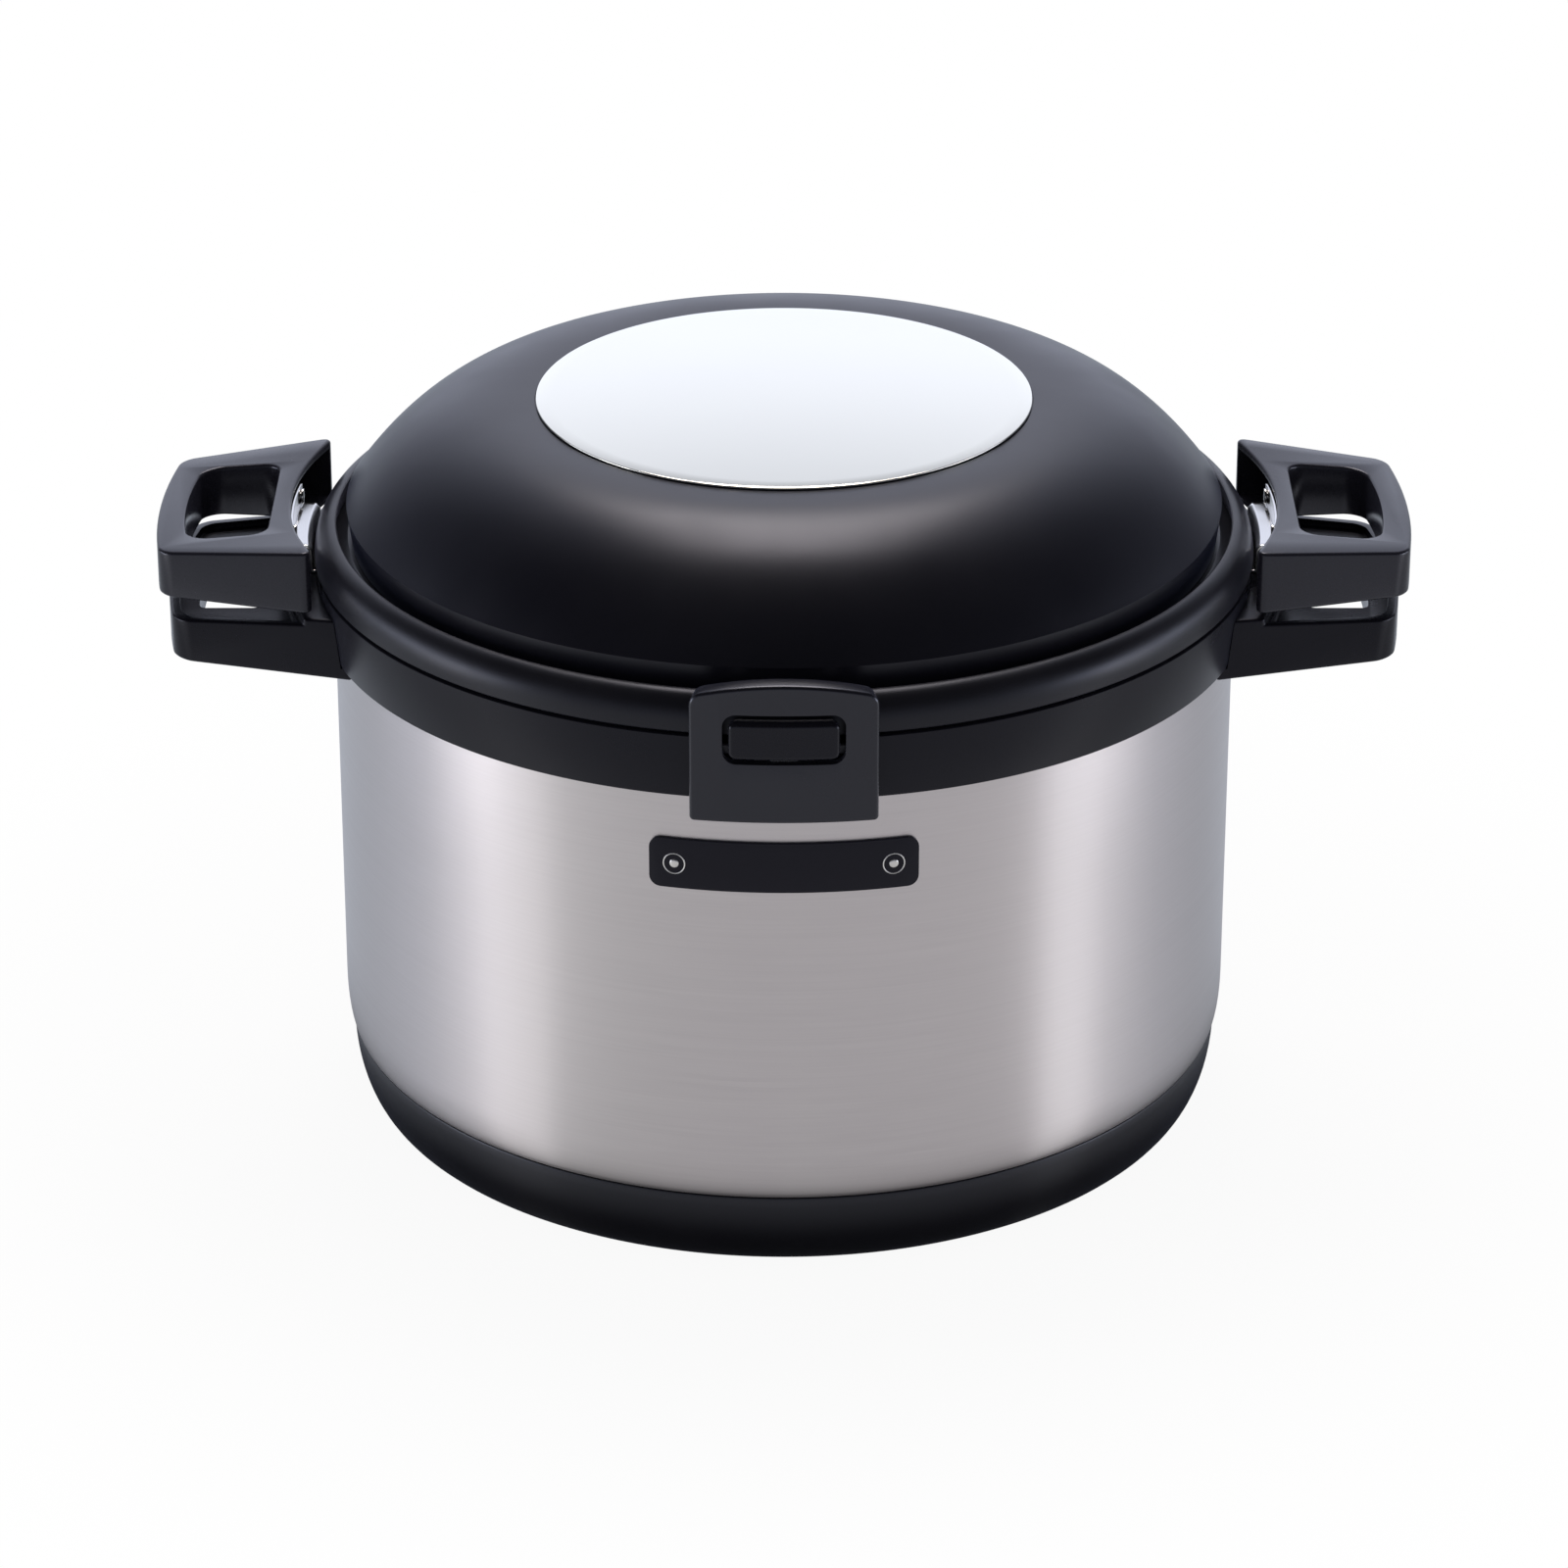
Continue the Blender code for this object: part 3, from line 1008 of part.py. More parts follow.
def make_latch_hook():
    arm_front = -HOOK_ARM_Y
    arm_back = -HOOK_ARM_Y + HOOK_ARM_THICKNESS
    knee_z = HOOK_PIN_Z + HOOK_KNEE_HEIGHT
    foot_z = HOOK_PIN_Z + HOOK_BARREL_RADIUS / 2.0
    half_arm = HOOK_ARM_THICKNESS / 2.0
    outline = [
        (-HOOK_PIN_Y - half_arm, HOOK_PIN_Z), (-HOOK_PIN_Y + HOOK_BARREL_RADIUS / 2.0, HOOK_PIN_Z),
        (-HOOK_PIN_Y + HOOK_BARREL_RADIUS, foot_z), (arm_back, knee_z), (arm_back, HOOK_TOP_Z),
        (arm_front, HOOK_TOP_Z), (arm_front - HOOK_NOSE_REACH, HOOK_NOSE_LOW_Z + HOOK_NOSE_HEIGHT / 2.0),
        (arm_front - HOOK_NOSE_REACH, HOOK_NOSE_LOW_Z), (arm_front, HOOK_NOSE_LOW_Z), (arm_front, knee_z)]
    hook = plate("latch_hook", [outline], 2.0 * HOOK_HALF_WIDTH, "polished_steel", sideways(0.0))
    barrel = rods("hook_barrel", [(HOOK_BARREL_RADIUS, (-HOOK_HALF_WIDTH, -HOOK_PIN_Y, HOOK_PIN_Z),
                                   (HOOK_HALF_WIDTH, -HOOK_PIN_Y, HOOK_PIN_Z), "X")], steps=SMALL_STEPS)
    hole = rods("hook_hole", [(HOOK_PIN_RADIUS + FIT_GAP, (-HOOK_HALF_WIDTH - OVERRUN, -HOOK_PIN_Y, HOOK_PIN_Z),
                               (HOOK_HALF_WIDTH + OVERRUN, -HOOK_PIN_Y, HOOK_PIN_Z), "X")], steps=SMALL_STEPS)
    fuse(hook, barrel)
    cut(hook, hole)
    return hook


def make_hook_spring():
    """The torsion spring's turns round the pin, beside the hook."""
    radius = HOOK_PIN_RADIUS + SPRING_LOOSE + SPRING_WIRE
    start = HOOK_HALF_WIDTH + FIT_GAP + SPRING_WIRE
    curve = bpy.data.curves.new("hook_spring_path", "CURVE")
    curve.dimensions = "3D"
    curve.bevel_depth = SPRING_WIRE
    curve.bevel_resolution = 0
    curve.use_fill_caps = True
    spline = curve.splines.new("POLY")
    count = SPRING_TURNS * SPRING_POINTS
    spline.points.add(count)
    for index, point in enumerate(spline.points):
        angle = 2.0 * math.pi * index / SPRING_POINTS
        point.co = (start + SPRING_PITCH * index / SPRING_POINTS, -HOOK_PIN_Y + radius * math.cos(angle),
                    HOOK_PIN_Z + radius * math.sin(angle), 1.0)
    spring = bpy.data.objects.new("hook_spring", curve)
    PARTS.objects.link(spring)
    curve.materials.append(finish_material("polished_steel"))
    return spring


# Outer lid


def hook_notch_cutter(name):
    return box(name, (-HOOK_NOTCH_HALF, -COLLAR_TOP_RADIUS - OVERRUN, COLLAR_TOP_Z),
               (HOOK_NOTCH_HALF, -HOOK_NOTCH_INNER_Y, HOOK_NOTCH_TOP_Z))


def striker_outline(gap):
    """The striker from below: a bar with an ear at each end that runs in under the ring."""
    nose = HOOK_ARM_Y + HOOK_NOSE_REACH + FIT_GAP
    front = nose + STRIKER_BAR + gap
    back = front - STRIKER_DEPTH - 2.0 * gap
    half = STRIKER_HALF_WIDTH + gap
    ear = STRIKER_HALF_WIDTH - STRIKER_EAR - gap
    return [(-half, -front), (half, -front), (half, -back), (ear, -back), (ear, -nose + gap), (-ear, -nose + gap),
            (-ear, -back), (-half, -back)]


def lid_screw_places():
    reach = LID_SCREW_RADIUS * math.cos(math.radians(45.0))
    return [(side_x * reach, side_y * reach) for side_x in (-1.0, 1.0) for side_y in (-1.0, 1.0)]


def ring_low_z():
    return COLLAR_TOP_Z + SEAM_GAP


def flange_low_z():
    return GROOVE_FLOOR_Z - FLANGE_THICKNESS


def make_lid_trim_ring():
    low_z = ring_low_z()
    points = ring_arc(0.0) + [
        (COLLAR_TOP_RADIUS, low_z),
        (RING_THICK_RADIUS, low_z),
        (RING_THICK_RADIUS, flange_low_z()),
        (FLANGE_INNER_RADIUS, flange_low_z()),
        (FLANGE_INNER_RADIUS, GROOVE_FLOOR_Z),
        (GROOVE_RADIUS, GROOVE_FLOOR_Z),
        (GROOVE_RADIUS, RING_TOP_Z - RING_TOP_ROUND),
    ]
    ring = turned("lid_trim_ring", points, "satin_black")
    striker_top = low_z + STRIKER_SHEET + 2.0 * FIT_GAP
    recess_height = striker_top - low_z + OVERRUN
    recess = plate("ring_striker_recess", [striker_outline(FIT_GAP)], recess_height, None,
                   level(striker_top - recess_height / 2.0))
    holes = []
    for across, along in lid_screw_places():
        holes.append((SCREW_RADIUS + FIT_GAP, (across, along, flange_low_z() - OVERRUN),
                      (across, along, GROOVE_FLOOR_Z + OVERRUN), "Z"))
    for side in (-1.0, 1.0):
        holes.append((SCREW_RADIUS + FIT_GAP, (side * ARM_SCREW_X, RING_TOP_RADIUS - FIT_GAP, ARM_SCREW_Z),
                      (side * ARM_SCREW_X, COLLAR_TOP_RADIUS + OVERRUN, ARM_SCREW_Z), "Y"))
    cut(ring, hook_notch_cutter("ring_hook_notch"), recess, rods("ring_screw_holes", holes))
    return ring


def make_lid_striker():
    low = ring_low_z() + FIT_GAP
    return plate("lid_striker", [striker_outline(0.0)], STRIKER_SHEET, "polished_steel",
                 level(low + STRIKER_SHEET / 2.0))


def dome_point(share, sink):
    """A point of the dome's outer curve, from the disc's edge at share 0 to the dome's edge at 1."""
    start = DISC_RADIUS + FIT_GAP
    radius = start + (DOME_RADIUS - start) * share
    height = DOME_SHOULDER_Z - (DOME_SHOULDER_Z - DOME_EDGE_Z) * share ** DOME_CURVE
    return radius, height - sink


def disc_arc(drop, radius, steps=DISC_STEPS):
    """Points of the disc's crown from the axis to its rim, lowered by a drop."""
    points = []
    for index in range(steps + 1):
        share = index / steps
        points.append((radius * share, DISC_RIM_Z + DISC_CROWN * (1.0 - share * share) - drop))
    return points


def make_lid_dome():
    seat_drop = DISC_THICKNESS + FIT_GAP
    seat = disc_arc(seat_drop, DISC_RADIUS + FIT_GAP, 1)
    slope = [dome_point(index / DOME_STEPS, 0.0) for index in range(DOME_STEPS + 1)]
    points = seat + slope + [(DOME_RADIUS, GROOVE_FLOOR_Z + FIT_GAP)]
    return turned("lid_dome", points, "dome_black", closed=False, sheet=DOME_WALL)


def make_lid_mirror_disc():
    top = disc_arc(0.0, DISC_RADIUS)
    return turned("lid_mirror_disc", top, "mirror_steel", closed=False, sheet=DISC_THICKNESS)


def liner_plate_curve(lift, steps=LINER_PLATE_STEPS):
    """The liner plate's raised middle from the axis out to its flat rim, lifted by a gap."""
    points = []
    base = flange_low_z() - FIT_GAP
    for index in range(steps + 1):
        share = index / steps
        radius = LINER_PLATE_RISE_RADIUS * share
        points.append((radius, base + LINER_PLATE_CROWN * (1.0 - share ** 3) + lift))
    return points


def make_lid_liner():
    points = liner_plate_curve(0.0) + [(LINER_PLATE_RADIUS, flange_low_z() - FIT_GAP)]
    liner = turned("lid_liner", points, "polished_steel", closed=False, sheet=LINER_PLATE_SHEET, steps=INNER_STEPS)
    holes = [(SCREW_RADIUS + FIT_GAP, (across, along, flange_low_z() - OVERRUN), (across, along, GROOVE_FLOOR_Z + OVERRUN), "Z")
             for across, along in lid_screw_places()]
    cut(liner, hook_notch_cutter("liner_hook_notch"), rods("liner_screw_holes", holes))
    return liner


def make_lid_insulation():
    inset = DOME_WALL + FOAM_GAP
    top = disc_arc(DISC_THICKNESS + FIT_GAP + inset, DISC_RADIUS, 1)
    slope = []
    for index in range(1, FOAM_STEPS + 1):
        share = index / FOAM_STEPS
        radius, height = dome_point(share, inset)
        slope.append((radius - inset - inset * share, height - inset * share))
    floor_z = GROOVE_FLOOR_Z + FOAM_FLOOR_LIFT
    edge = (slope[-1][0], floor_z)
    lower = [(radius, max(height, floor_z)) for radius, height in liner_plate_curve(FOAM_GAP)]
    lower.reverse()
    return turned("lid_insulation", top + slope + [edge] + lower, "foam", closed=False, steps=INNER_STEPS)


def make_lid_gasket():
    top = flange_low_z() - LINER_PLATE_SHEET - 2.0 * FIT_GAP
    low = COLLAR_TOP_Z + FIT_GAP
    inner = SEAL_OUTER_RADIUS - SEAL_WIDTH
    return turned("lid_gasket", [
        (SEAL_OUTER_RADIUS, top), (SEAL_OUTER_RADIUS, low + SEAL_LIP), (SEAL_OUTER_RADIUS - SEAL_LIP, low),
        (inner + SEAL_LIP / 2.0, low), (inner, top)], "silicone",
        steps=INNER_STEPS)


def make_lid_screws():
    places = []
    under = flange_low_z() - LINER_PLATE_SHEET - 2.0 * FIT_GAP
    for across, along in lid_screw_places():
        places.append(((across, along, under - SCREW_HEAD_HEIGHT), (across, along, under),
                       (across, along, GROOVE_FLOOR_Z - FIT_GAP), "Z"))
    screws("lid_screw", places, "polished_steel", LID_SCREW_HEAD, SCREW_RADIUS)


# Hinge


def make_hinge_base():
    depth = HINGE_PLATE_RADIUS / 4.0
    middle = (HINGE_PLATE_TOP_Z + HINGE_PLATE_LOW_Z) / 2.0
    half = (HINGE_PLATE_TOP_Z - HINGE_PLATE_LOW_Z) / 2.0
    base = plate("hinge_base", [rounded_rectangle(HINGE_HALF_WIDTH, half, middle, HINGE_PLATE_ROUND)], depth,
                 "satin_black", upright(HINGE_PLATE_RADIUS - depth / 4.0))
    add_boolean(base, collar_envelope("hinge_envelope", HINGE_PLATE_RADIUS, HINGE_PLATE_TOP_Z), "INTERSECT")
    lugs = []
    inner = HINGE_ARM_HALF + FIT_GAP
    for side in (-1.0, 1.0):
        lugs.append((KNUCKLE_RADIUS, (side * inner, HINGE_Y, HINGE_Z), (side * HINGE_HALF_WIDTH, HINGE_Y, HINGE_Z), "X"))
    knuckles = rods("hinge_base_knuckles", lugs, steps=KNUCKLE_STEPS)
    add_boolean(knuckles, collar_envelope("knuckle_envelope", HINGE_PLATE_RADIUS + KNUCKLE_RADIUS, HINGE_PLATE_TOP_Z),
                "INTERSECT")
    saddle = box("hinge_saddle", (-inner, BODY_RADIUS, HINGE_SADDLE_Z),
                 (inner, HINGE_PLATE_RADIUS + KNUCKLE_RADIUS + OVERRUN, HINGE_PLATE_TOP_Z + OVERRUN))
    pin_hole = rods("hinge_base_hole", [(HINGE_PIN_RADIUS + FIT_GAP, (-HINGE_HALF_WIDTH - OVERRUN, HINGE_Y, HINGE_Z),
                                         (HINGE_HALF_WIDTH + OVERRUN, HINGE_Y, HINGE_Z), "X")], steps=SMALL_STEPS)
    shoulder_y = math.sqrt(HINGE_PLATE_RADIUS ** 2 - HINGE_SCREW_X ** 2) - SCREW_HEAD_HEIGHT
    holes = []
    places = []
    for side in (-1.0, 1.0):
        across = side * HINGE_SCREW_X
        holes.append((SCREW_RADIUS + FIT_GAP, (across, BODY_RADIUS - OVERRUN, HINGE_SCREW_Z),
                      (across, shoulder_y + OVERRUN, HINGE_SCREW_Z), "Y"))
        holes.append((SCREW_HEAD_RADIUS + FIT_GAP, (across, shoulder_y - FIT_GAP, HINGE_SCREW_Z),
                      (across, shoulder_y + OVERRUN, HINGE_SCREW_Z), "Y"))
        places.append(((across, shoulder_y + SCREW_HEAD_HEIGHT, HINGE_SCREW_Z), (across, shoulder_y, HINGE_SCREW_Z),
                       (across, shoulder_y - HINGE_SCREW_BITE + FIT_GAP, HINGE_SCREW_Z), "Y"))
    fuse(base, knuckles)
    cut(base, saddle, pin_hole, rods("hinge_screw_holes", holes[0::2]), rods("hinge_screw_seats", holes[1::2]))
    screws("hinge_base_screw", places, "polished_steel")
    return base


def make_hinge_arm():
    depth = HINGE_ARM_RADIUS / 4.0
    middle = (HINGE_ARM_TOP_Z + HINGE_Z) / 2.0
    half = (HINGE_ARM_TOP_Z - HINGE_Z) / 2.0
    arm = plate("lid_hinge_arm", [rounded_rectangle(HINGE_ARM_HALF, half, middle, LATCH_EDGE)], depth,
                "satin_black", upright(HINGE_ARM_RADIUS - depth / 4.0))
    surface = ring_arc(FIT_GAP)
    surface.reverse()
    high = HINGE_ARM_TOP_Z + OVERRUN
    low = HINGE_Z - OVERRUN
    envelope = turned("arm_envelope", [
        (HINGE_ARM_RADIUS, high), (HINGE_ARM_RADIUS, low), (COLLAR_TOP_RADIUS + 2.0 * FIT_GAP, low),
        (COLLAR_TOP_RADIUS + 2.0 * FIT_GAP, ring_low_z())] + surface + [(RING_TOP_RADIUS, high)],
        None, steps=2 * ROUND_STEPS)
    add_boolean(arm, envelope, "INTERSECT")
    knuckle = rods("arm_knuckle", [(KNUCKLE_RADIUS, (-HINGE_ARM_HALF, HINGE_Y, HINGE_Z),
                                    (HINGE_ARM_HALF, HINGE_Y, HINGE_Z), "X")], steps=KNUCKLE_STEPS)
    hole = rods("arm_pin_hole", [(HINGE_PIN_RADIUS + FIT_GAP, (-HINGE_ARM_HALF - OVERRUN, HINGE_Y, HINGE_Z),
                                  (HINGE_ARM_HALF + OVERRUN, HINGE_Y, HINGE_Z), "X")], steps=SMALL_STEPS)
    shoulder_y = math.sqrt(HINGE_ARM_RADIUS ** 2 - ARM_SCREW_X ** 2) - SCREW_HEAD_HEIGHT
    holes = []
    seats = []
    places = []
    for side in (-1.0, 1.0):
        across = side * ARM_SCREW_X
        holes.append((SCREW_RADIUS + FIT_GAP, (across, RING_TOP_RADIUS, ARM_SCREW_Z),
                      (across, shoulder_y + OVERRUN, ARM_SCREW_Z), "Y"))
        seats.append((SCREW_HEAD_RADIUS + FIT_GAP, (across, shoulder_y - FIT_GAP, ARM_SCREW_Z),
                      (across, shoulder_y + OVERRUN, ARM_SCREW_Z), "Y"))
        places.append(((across, shoulder_y + SCREW_HEAD_HEIGHT, ARM_SCREW_Z), (across, shoulder_y, ARM_SCREW_Z),
                       (across, shoulder_y - ARM_SCREW_BITE, ARM_SCREW_Z), "Y"))
    fuse(arm, knuckle)
    cut(arm, hole, rods("arm_screw_holes", holes), rods("arm_screw_seats", seats))
    screws("hinge_arm_screw", places, "polished_steel")
    return arm


def make_hinge_pin():
    half = HINGE_HALF_WIDTH - FIT_GAP
    return rods("hinge_pin", [(HINGE_PIN_RADIUS, (-half, HINGE_Y, HINGE_Z), (half, HINGE_Y, HINGE_Z), "X")],
                "polished_steel", SMALL_STEPS)


# Cooking pot


def make_pot_shell():
    outer = arc((POT_RADIUS - POT_CORNER, POT_FLOOR_Z + POT_CORNER), (POT_CORNER, POT_CORNER), 0.0, -90.0, POT_CORNER_STEPS)
    inner_corner = POT_CORNER - POT_SHEET
    inner = arc((POT_RADIUS - POT_CORNER, POT_FLOOR_Z + POT_CORNER), (inner_corner, inner_corner), -90.0, 0.0,
                POT_CORNER_STEPS)
    rim_low = POT_RIM_Z - POT_RIM_HEIGHT
    points = [(0.0, POT_FLOOR_Z + POT_SHEET)] + inner + [
        (POT_RADIUS - POT_SHEET, POT_RIM_Z), (POT_RADIUS + POT_RIM_WIDTH, POT_RIM_Z),
        (POT_RADIUS + POT_RIM_WIDTH, rim_low), (POT_RADIUS, rim_low)] + outer + [(0.0, POT_FLOOR_Z)]
    return turned("pot_shell", points, "polished_steel", closed=False, steps=INNER_STEPS)


def make_pot_base_disc():
    top = POT_FLOOR_Z - FIT_GAP
    low = top - POT_BASE_THICKNESS
    return turned("pot_base_disc", [
        (0.0, top), (POT_BASE_RADIUS, top), (POT_BASE_RADIUS, low + POT_BASE_EDGE),
        (POT_BASE_RADIUS - POT_BASE_EDGE, low), (0.0, low)], "polished_steel", closed=False, steps=INNER_STEPS)


def flange_radius():
    """The outer face of the bracket's upright flange, against the handle's root."""
    return POT_HANDLE_INNER_RADIUS - 1.5 * FIT_GAP


def pot_screw_holes(name, side_gap):
    holes = []
    for along in (-POT_SCREW_PITCH / 2.0, POT_SCREW_PITCH / 2.0):
        start = flange_radius() - BRACKET_SHEET - OVERRUN
        end = flange_radius() + POT_SCREW_BITE + FIT_GAP
        holes.append((SCREW_RADIUS + side_gap, (start, along, POT_SCREW_Z), (end, along, POT_SCREW_Z), "X"))
    return rods(name, holes)


def make_pot_brackets():
    """A welded pad, a tongue over the collar's notch and a rising flange, bent from one strip."""
    tongue_low = COLLAR_TOP_Z - NOTCH_DEPTH + BRACKET_FLOOR_GAP
    tongue_top = tongue_low + BRACKET_SHEET
    pad_out = POT_RADIUS + FIT_GAP + BRACKET_SHEET
    points = [
        (flange_radius(), BRACKET_TOP_Z),
        (flange_radius(), tongue_top + BRACKET_RISE_HEIGHT),
        (BRACKET_RISE_START + BRACKET_SHEET, tongue_low),
        (pad_out, tongue_low),
        (pad_out, tongue_low - BRACKET_PAD_HEIGHT),
    ]
    bracket = turned("pot_bracket_right", points, "polished_steel", closed=False, sheet=BRACKET_SHEET,
                     steps=BRACKET_STEPS, angle=2.0 * BRACKET_HALF_ANGLE)
    bracket.rotation_euler.z = -BRACKET_HALF_ANGLE
    cut(bracket, pot_screw_holes("bracket_screw_holes", FIT_GAP))
    twin(bracket, "pot_bracket_left", "polished_steel")
    return bracket


def make_pot_handles():
    outline = handle_outline(concave_root(POT_HANDLE_INNER_RADIUS, HANDLE_ROOT_HALF, HANDLE_ROOT_ROUND), POT_HANDLE_REACH)
    window = window_outline(POT_WINDOW_START, POT_WINDOW_END, POT_WINDOW_HALF, WINDOW_BOW)
    height = POT_HANDLE_TOP_Z - POT_HANDLE_LOW_Z
    handle = plate("pot_handle_right", [outline, window], height, "satin_black", level(POT_HANDLE_LOW_Z + height / 2.0))
    top_at = ramp(COLLAR_TOP_RADIUS, POT_HANDLE_REACH, POT_HANDLE_TOP_Z, POT_HANDLE_TOP_Z - POT_HANDLE_TOP_FALL)
    low_at = ramp(COLLAR_TOP_RADIUS, POT_HANDLE_REACH, POT_HANDLE_LOW_Z, POT_HANDLE_LOW_Z)
    slope_faces(handle.data, POT_HANDLE_LOW_Z, POT_HANDLE_TOP_Z, low_at, top_at)
    add_bevel(handle, HANDLE_EDGE)
    cut(handle, pot_screw_holes("handle_screw_holes", FIT_GAP))
    twin(handle, "pot_handle_left", "satin_black")
    places = []
    for side in (-1.0, 1.0):
        for along in (-POT_SCREW_PITCH / 2.0, POT_SCREW_PITCH / 2.0):
            edge = abs(along) + SCREW_HEAD_RADIUS
            face = math.sqrt((flange_radius() - BRACKET_SHEET) ** 2 - edge ** 2) - FIT_GAP
            tip = flange_radius() + POT_SCREW_BITE
            places.append(((side * (face - SCREW_HEAD_HEIGHT), along, POT_SCREW_Z), (side * face, along, POT_SCREW_Z),
                           (side * tip, along, POT_SCREW_Z), "X"))
    screws("pot_handle_screw", places, "polished_steel")
    return handle


# Pot lid


def pot_lid_low_z():
    return POT_RIM_Z + FIT_GAP


def make_pot_lid_plate():
    top = pot_lid_low_z() + POT_LID_SHEET
    inner = POT_LID_RADIUS - POT_LID_RIM_WIDTH
    points = []
    for index in range(POT_LID_STEPS + 1):
        share = index / POT_LID_STEPS
        points.append((inner * share, top + POT_LID_CROWN * (1.0 - share * share)))
    points.append((POT_LID_RADIUS, top))
    lid = turned("pot_lid_plate", points, "polished_steel", closed=False, sheet=POT_LID_SHEET, steps=INNER_STEPS)
    crown = top + POT_LID_CROWN
    hole = rods("pot_lid_hole", [(KNOB_SCREW_RADIUS + FIT_GAP, (0.0, 0.0, crown - OVERRUN), (0.0, 0.0, crown + OVERRUN), "Z")])
    cut(lid, hole)
    return lid


def make_pot_lid_knob():
    base = pot_lid_low_z() + POT_LID_SHEET + POT_LID_CROWN + FIT_GAP
    neck = base + KNOB_NECK_HEIGHT
    top = base + KNOB_HEIGHT
    head = (top - neck) / 2.0
    crown = arc((KNOB_RADIUS - head, neck + head), (head, head), 90.0, -60.0, 4)
    points = [(0.0, top)] + crown + [(KNOB_NECK_RADIUS, neck), (KNOB_NECK_RADIUS, base), (0.0, base)]
    knob = turned("pot_lid_knob", points, "satin_black", closed=False, steps=KNOB_STEPS)
    hole = rods("knob_hole", [(KNOB_SCREW_RADIUS + FIT_GAP, (0.0, 0.0, base - OVERRUN),
                               (0.0, 0.0, base + KNOB_SCREW_DEPTH + FIT_GAP), "Z")])
    cut(knob, hole)
    under = pot_lid_low_z() + POT_LID_CROWN - FIT_GAP
    screws("knob_screw", [((0.0, 0.0, under - SCREW_HEAD_HEIGHT), (0.0, 0.0, under), (0.0, 0.0, base + KNOB_SCREW_DEPTH), "Z")],
           "polished_steel", KNOB_SCREW_HEAD, KNOB_SCREW_RADIUS)
    return knob


# The whole cooker

make_outer_shell()
make_inner_liner()
make_base_cup()
make_foot_ring()
make_vacuum_seal_cap()
make_collar_ring()
make_carry_handles()
make_badge()
make_latch_housing()
make_release_button()
make_latch_hook()
make_hook_spring()
make_lid_trim_ring()
make_lid_striker()
make_lid_dome()
make_lid_mirror_disc()
make_lid_liner()
make_lid_insulation()
make_lid_gasket()
make_lid_screws()
make_hinge_base()
make_hinge_arm()
make_hinge_pin()
make_pot_shell()
make_pot_base_disc()
make_pot_brackets()
make_pot_handles()
make_pot_lid_plate()
make_pot_lid_knob()
bpy.context.view_layer.update()
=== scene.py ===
import math

import bpy
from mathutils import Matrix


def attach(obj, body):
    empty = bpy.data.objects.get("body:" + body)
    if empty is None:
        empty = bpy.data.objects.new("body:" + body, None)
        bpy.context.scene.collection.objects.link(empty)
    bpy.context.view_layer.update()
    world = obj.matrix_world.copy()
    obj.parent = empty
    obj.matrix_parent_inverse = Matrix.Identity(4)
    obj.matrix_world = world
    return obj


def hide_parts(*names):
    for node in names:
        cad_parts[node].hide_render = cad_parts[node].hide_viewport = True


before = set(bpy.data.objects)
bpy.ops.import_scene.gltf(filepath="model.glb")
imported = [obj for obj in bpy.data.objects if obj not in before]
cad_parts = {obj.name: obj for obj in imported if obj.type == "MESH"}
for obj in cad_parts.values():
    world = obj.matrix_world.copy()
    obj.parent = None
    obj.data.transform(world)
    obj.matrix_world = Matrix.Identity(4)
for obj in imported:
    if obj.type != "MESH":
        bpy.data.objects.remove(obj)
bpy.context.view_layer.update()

# Camera
# It stands in front of the latch and 25 degrees above it, with a long lens from 1.9 m away, so the sides of
# the vessel run almost parallel.
bpy.ops.object.camera_add(location=(0.0, -1.6897, 0.888), rotation=(math.radians(64.991), 0.0, 0.0))
camera = bpy.context.object
camera.name = "studio_camera"
camera.data.lens = 135.0
camera.data.sensor_width = 36.0
camera.data.clip_start = 0.05
camera.data.clip_end = 60.0
bpy.context.scene.camera = camera
bpy.context.scene.view_settings.view_transform = "Standard"

# Floor
# A white table top that keeps the cooker's soft shadow and runs into the white backdrop with no edge. What the
# steel and the black plastic mirror of it is a painted reflection that glows: painted shade close to the foot
# and two painted bright tracks to both sides.
TABLE_RADIUS = 12.0
TABLE_DROP = 0.0002
FADE_START, FADE_END = 0.15, 0.40
FADE_LEVEL = 0.935
FOCUS_OUT, FOCUS_FORWARD = 0.040, 0.100
# painted reflection of the floor: bearing from straight ahead in degrees, level, and the shares of green and blue
# in it; the peaks near 75 degrees are painted bright tracks
PAINTED_REFLECTION_BY_BEARING = (
    (-170, 0.61, 1.09, 1.22), (-140, 0.47, 1.08, 1.19), (-108, 0.49, 1.05, 1.12), (-90, 0.55, 1.02, 1.05),
    (-81, 0.84, 1.00, 1.01), (-73.5, 2.25, 0.99, 1.00), (-66, 1.02, 1.00, 1.00), (-58, 0.66, 1.01, 1.01),
    (-32, 0.57, 1.00, 1.00), (0, 0.55, 0.99, 1.00), (32, 0.56, 0.99, 1.00), (63, 0.58, 0.99, 1.00),
    (71, 0.80, 0.99, 1.00), (77.5, 2.20, 0.99, 0.99), (84, 0.78, 0.99, 1.00), (92, 0.48, 1.01, 1.02),
    (112, 0.43, 1.03, 1.08), (140, 0.45, 1.06, 1.15), (170, 0.61, 1.08, 1.20))
# painted reflection of the floor: distance from the vessel's axis, and level; the low levels close to the foot
# are painted shade
PAINTED_REFLECTION_BY_REACH = ((0.145, 0.05), (0.170, 0.72), (0.20, 0.96), (0.42, 1.0), (0.80, 1.10))


def principled(name, sockets):
    """A material, and its shader with some of its own constants set."""
    material = bpy.data.materials.new(name)
    material.use_nodes = True
    shader = material.node_tree.nodes["Principled BSDF"]
    for socket, value in sockets.items():
        shader.inputs[socket].default_value = value
    return material, shader


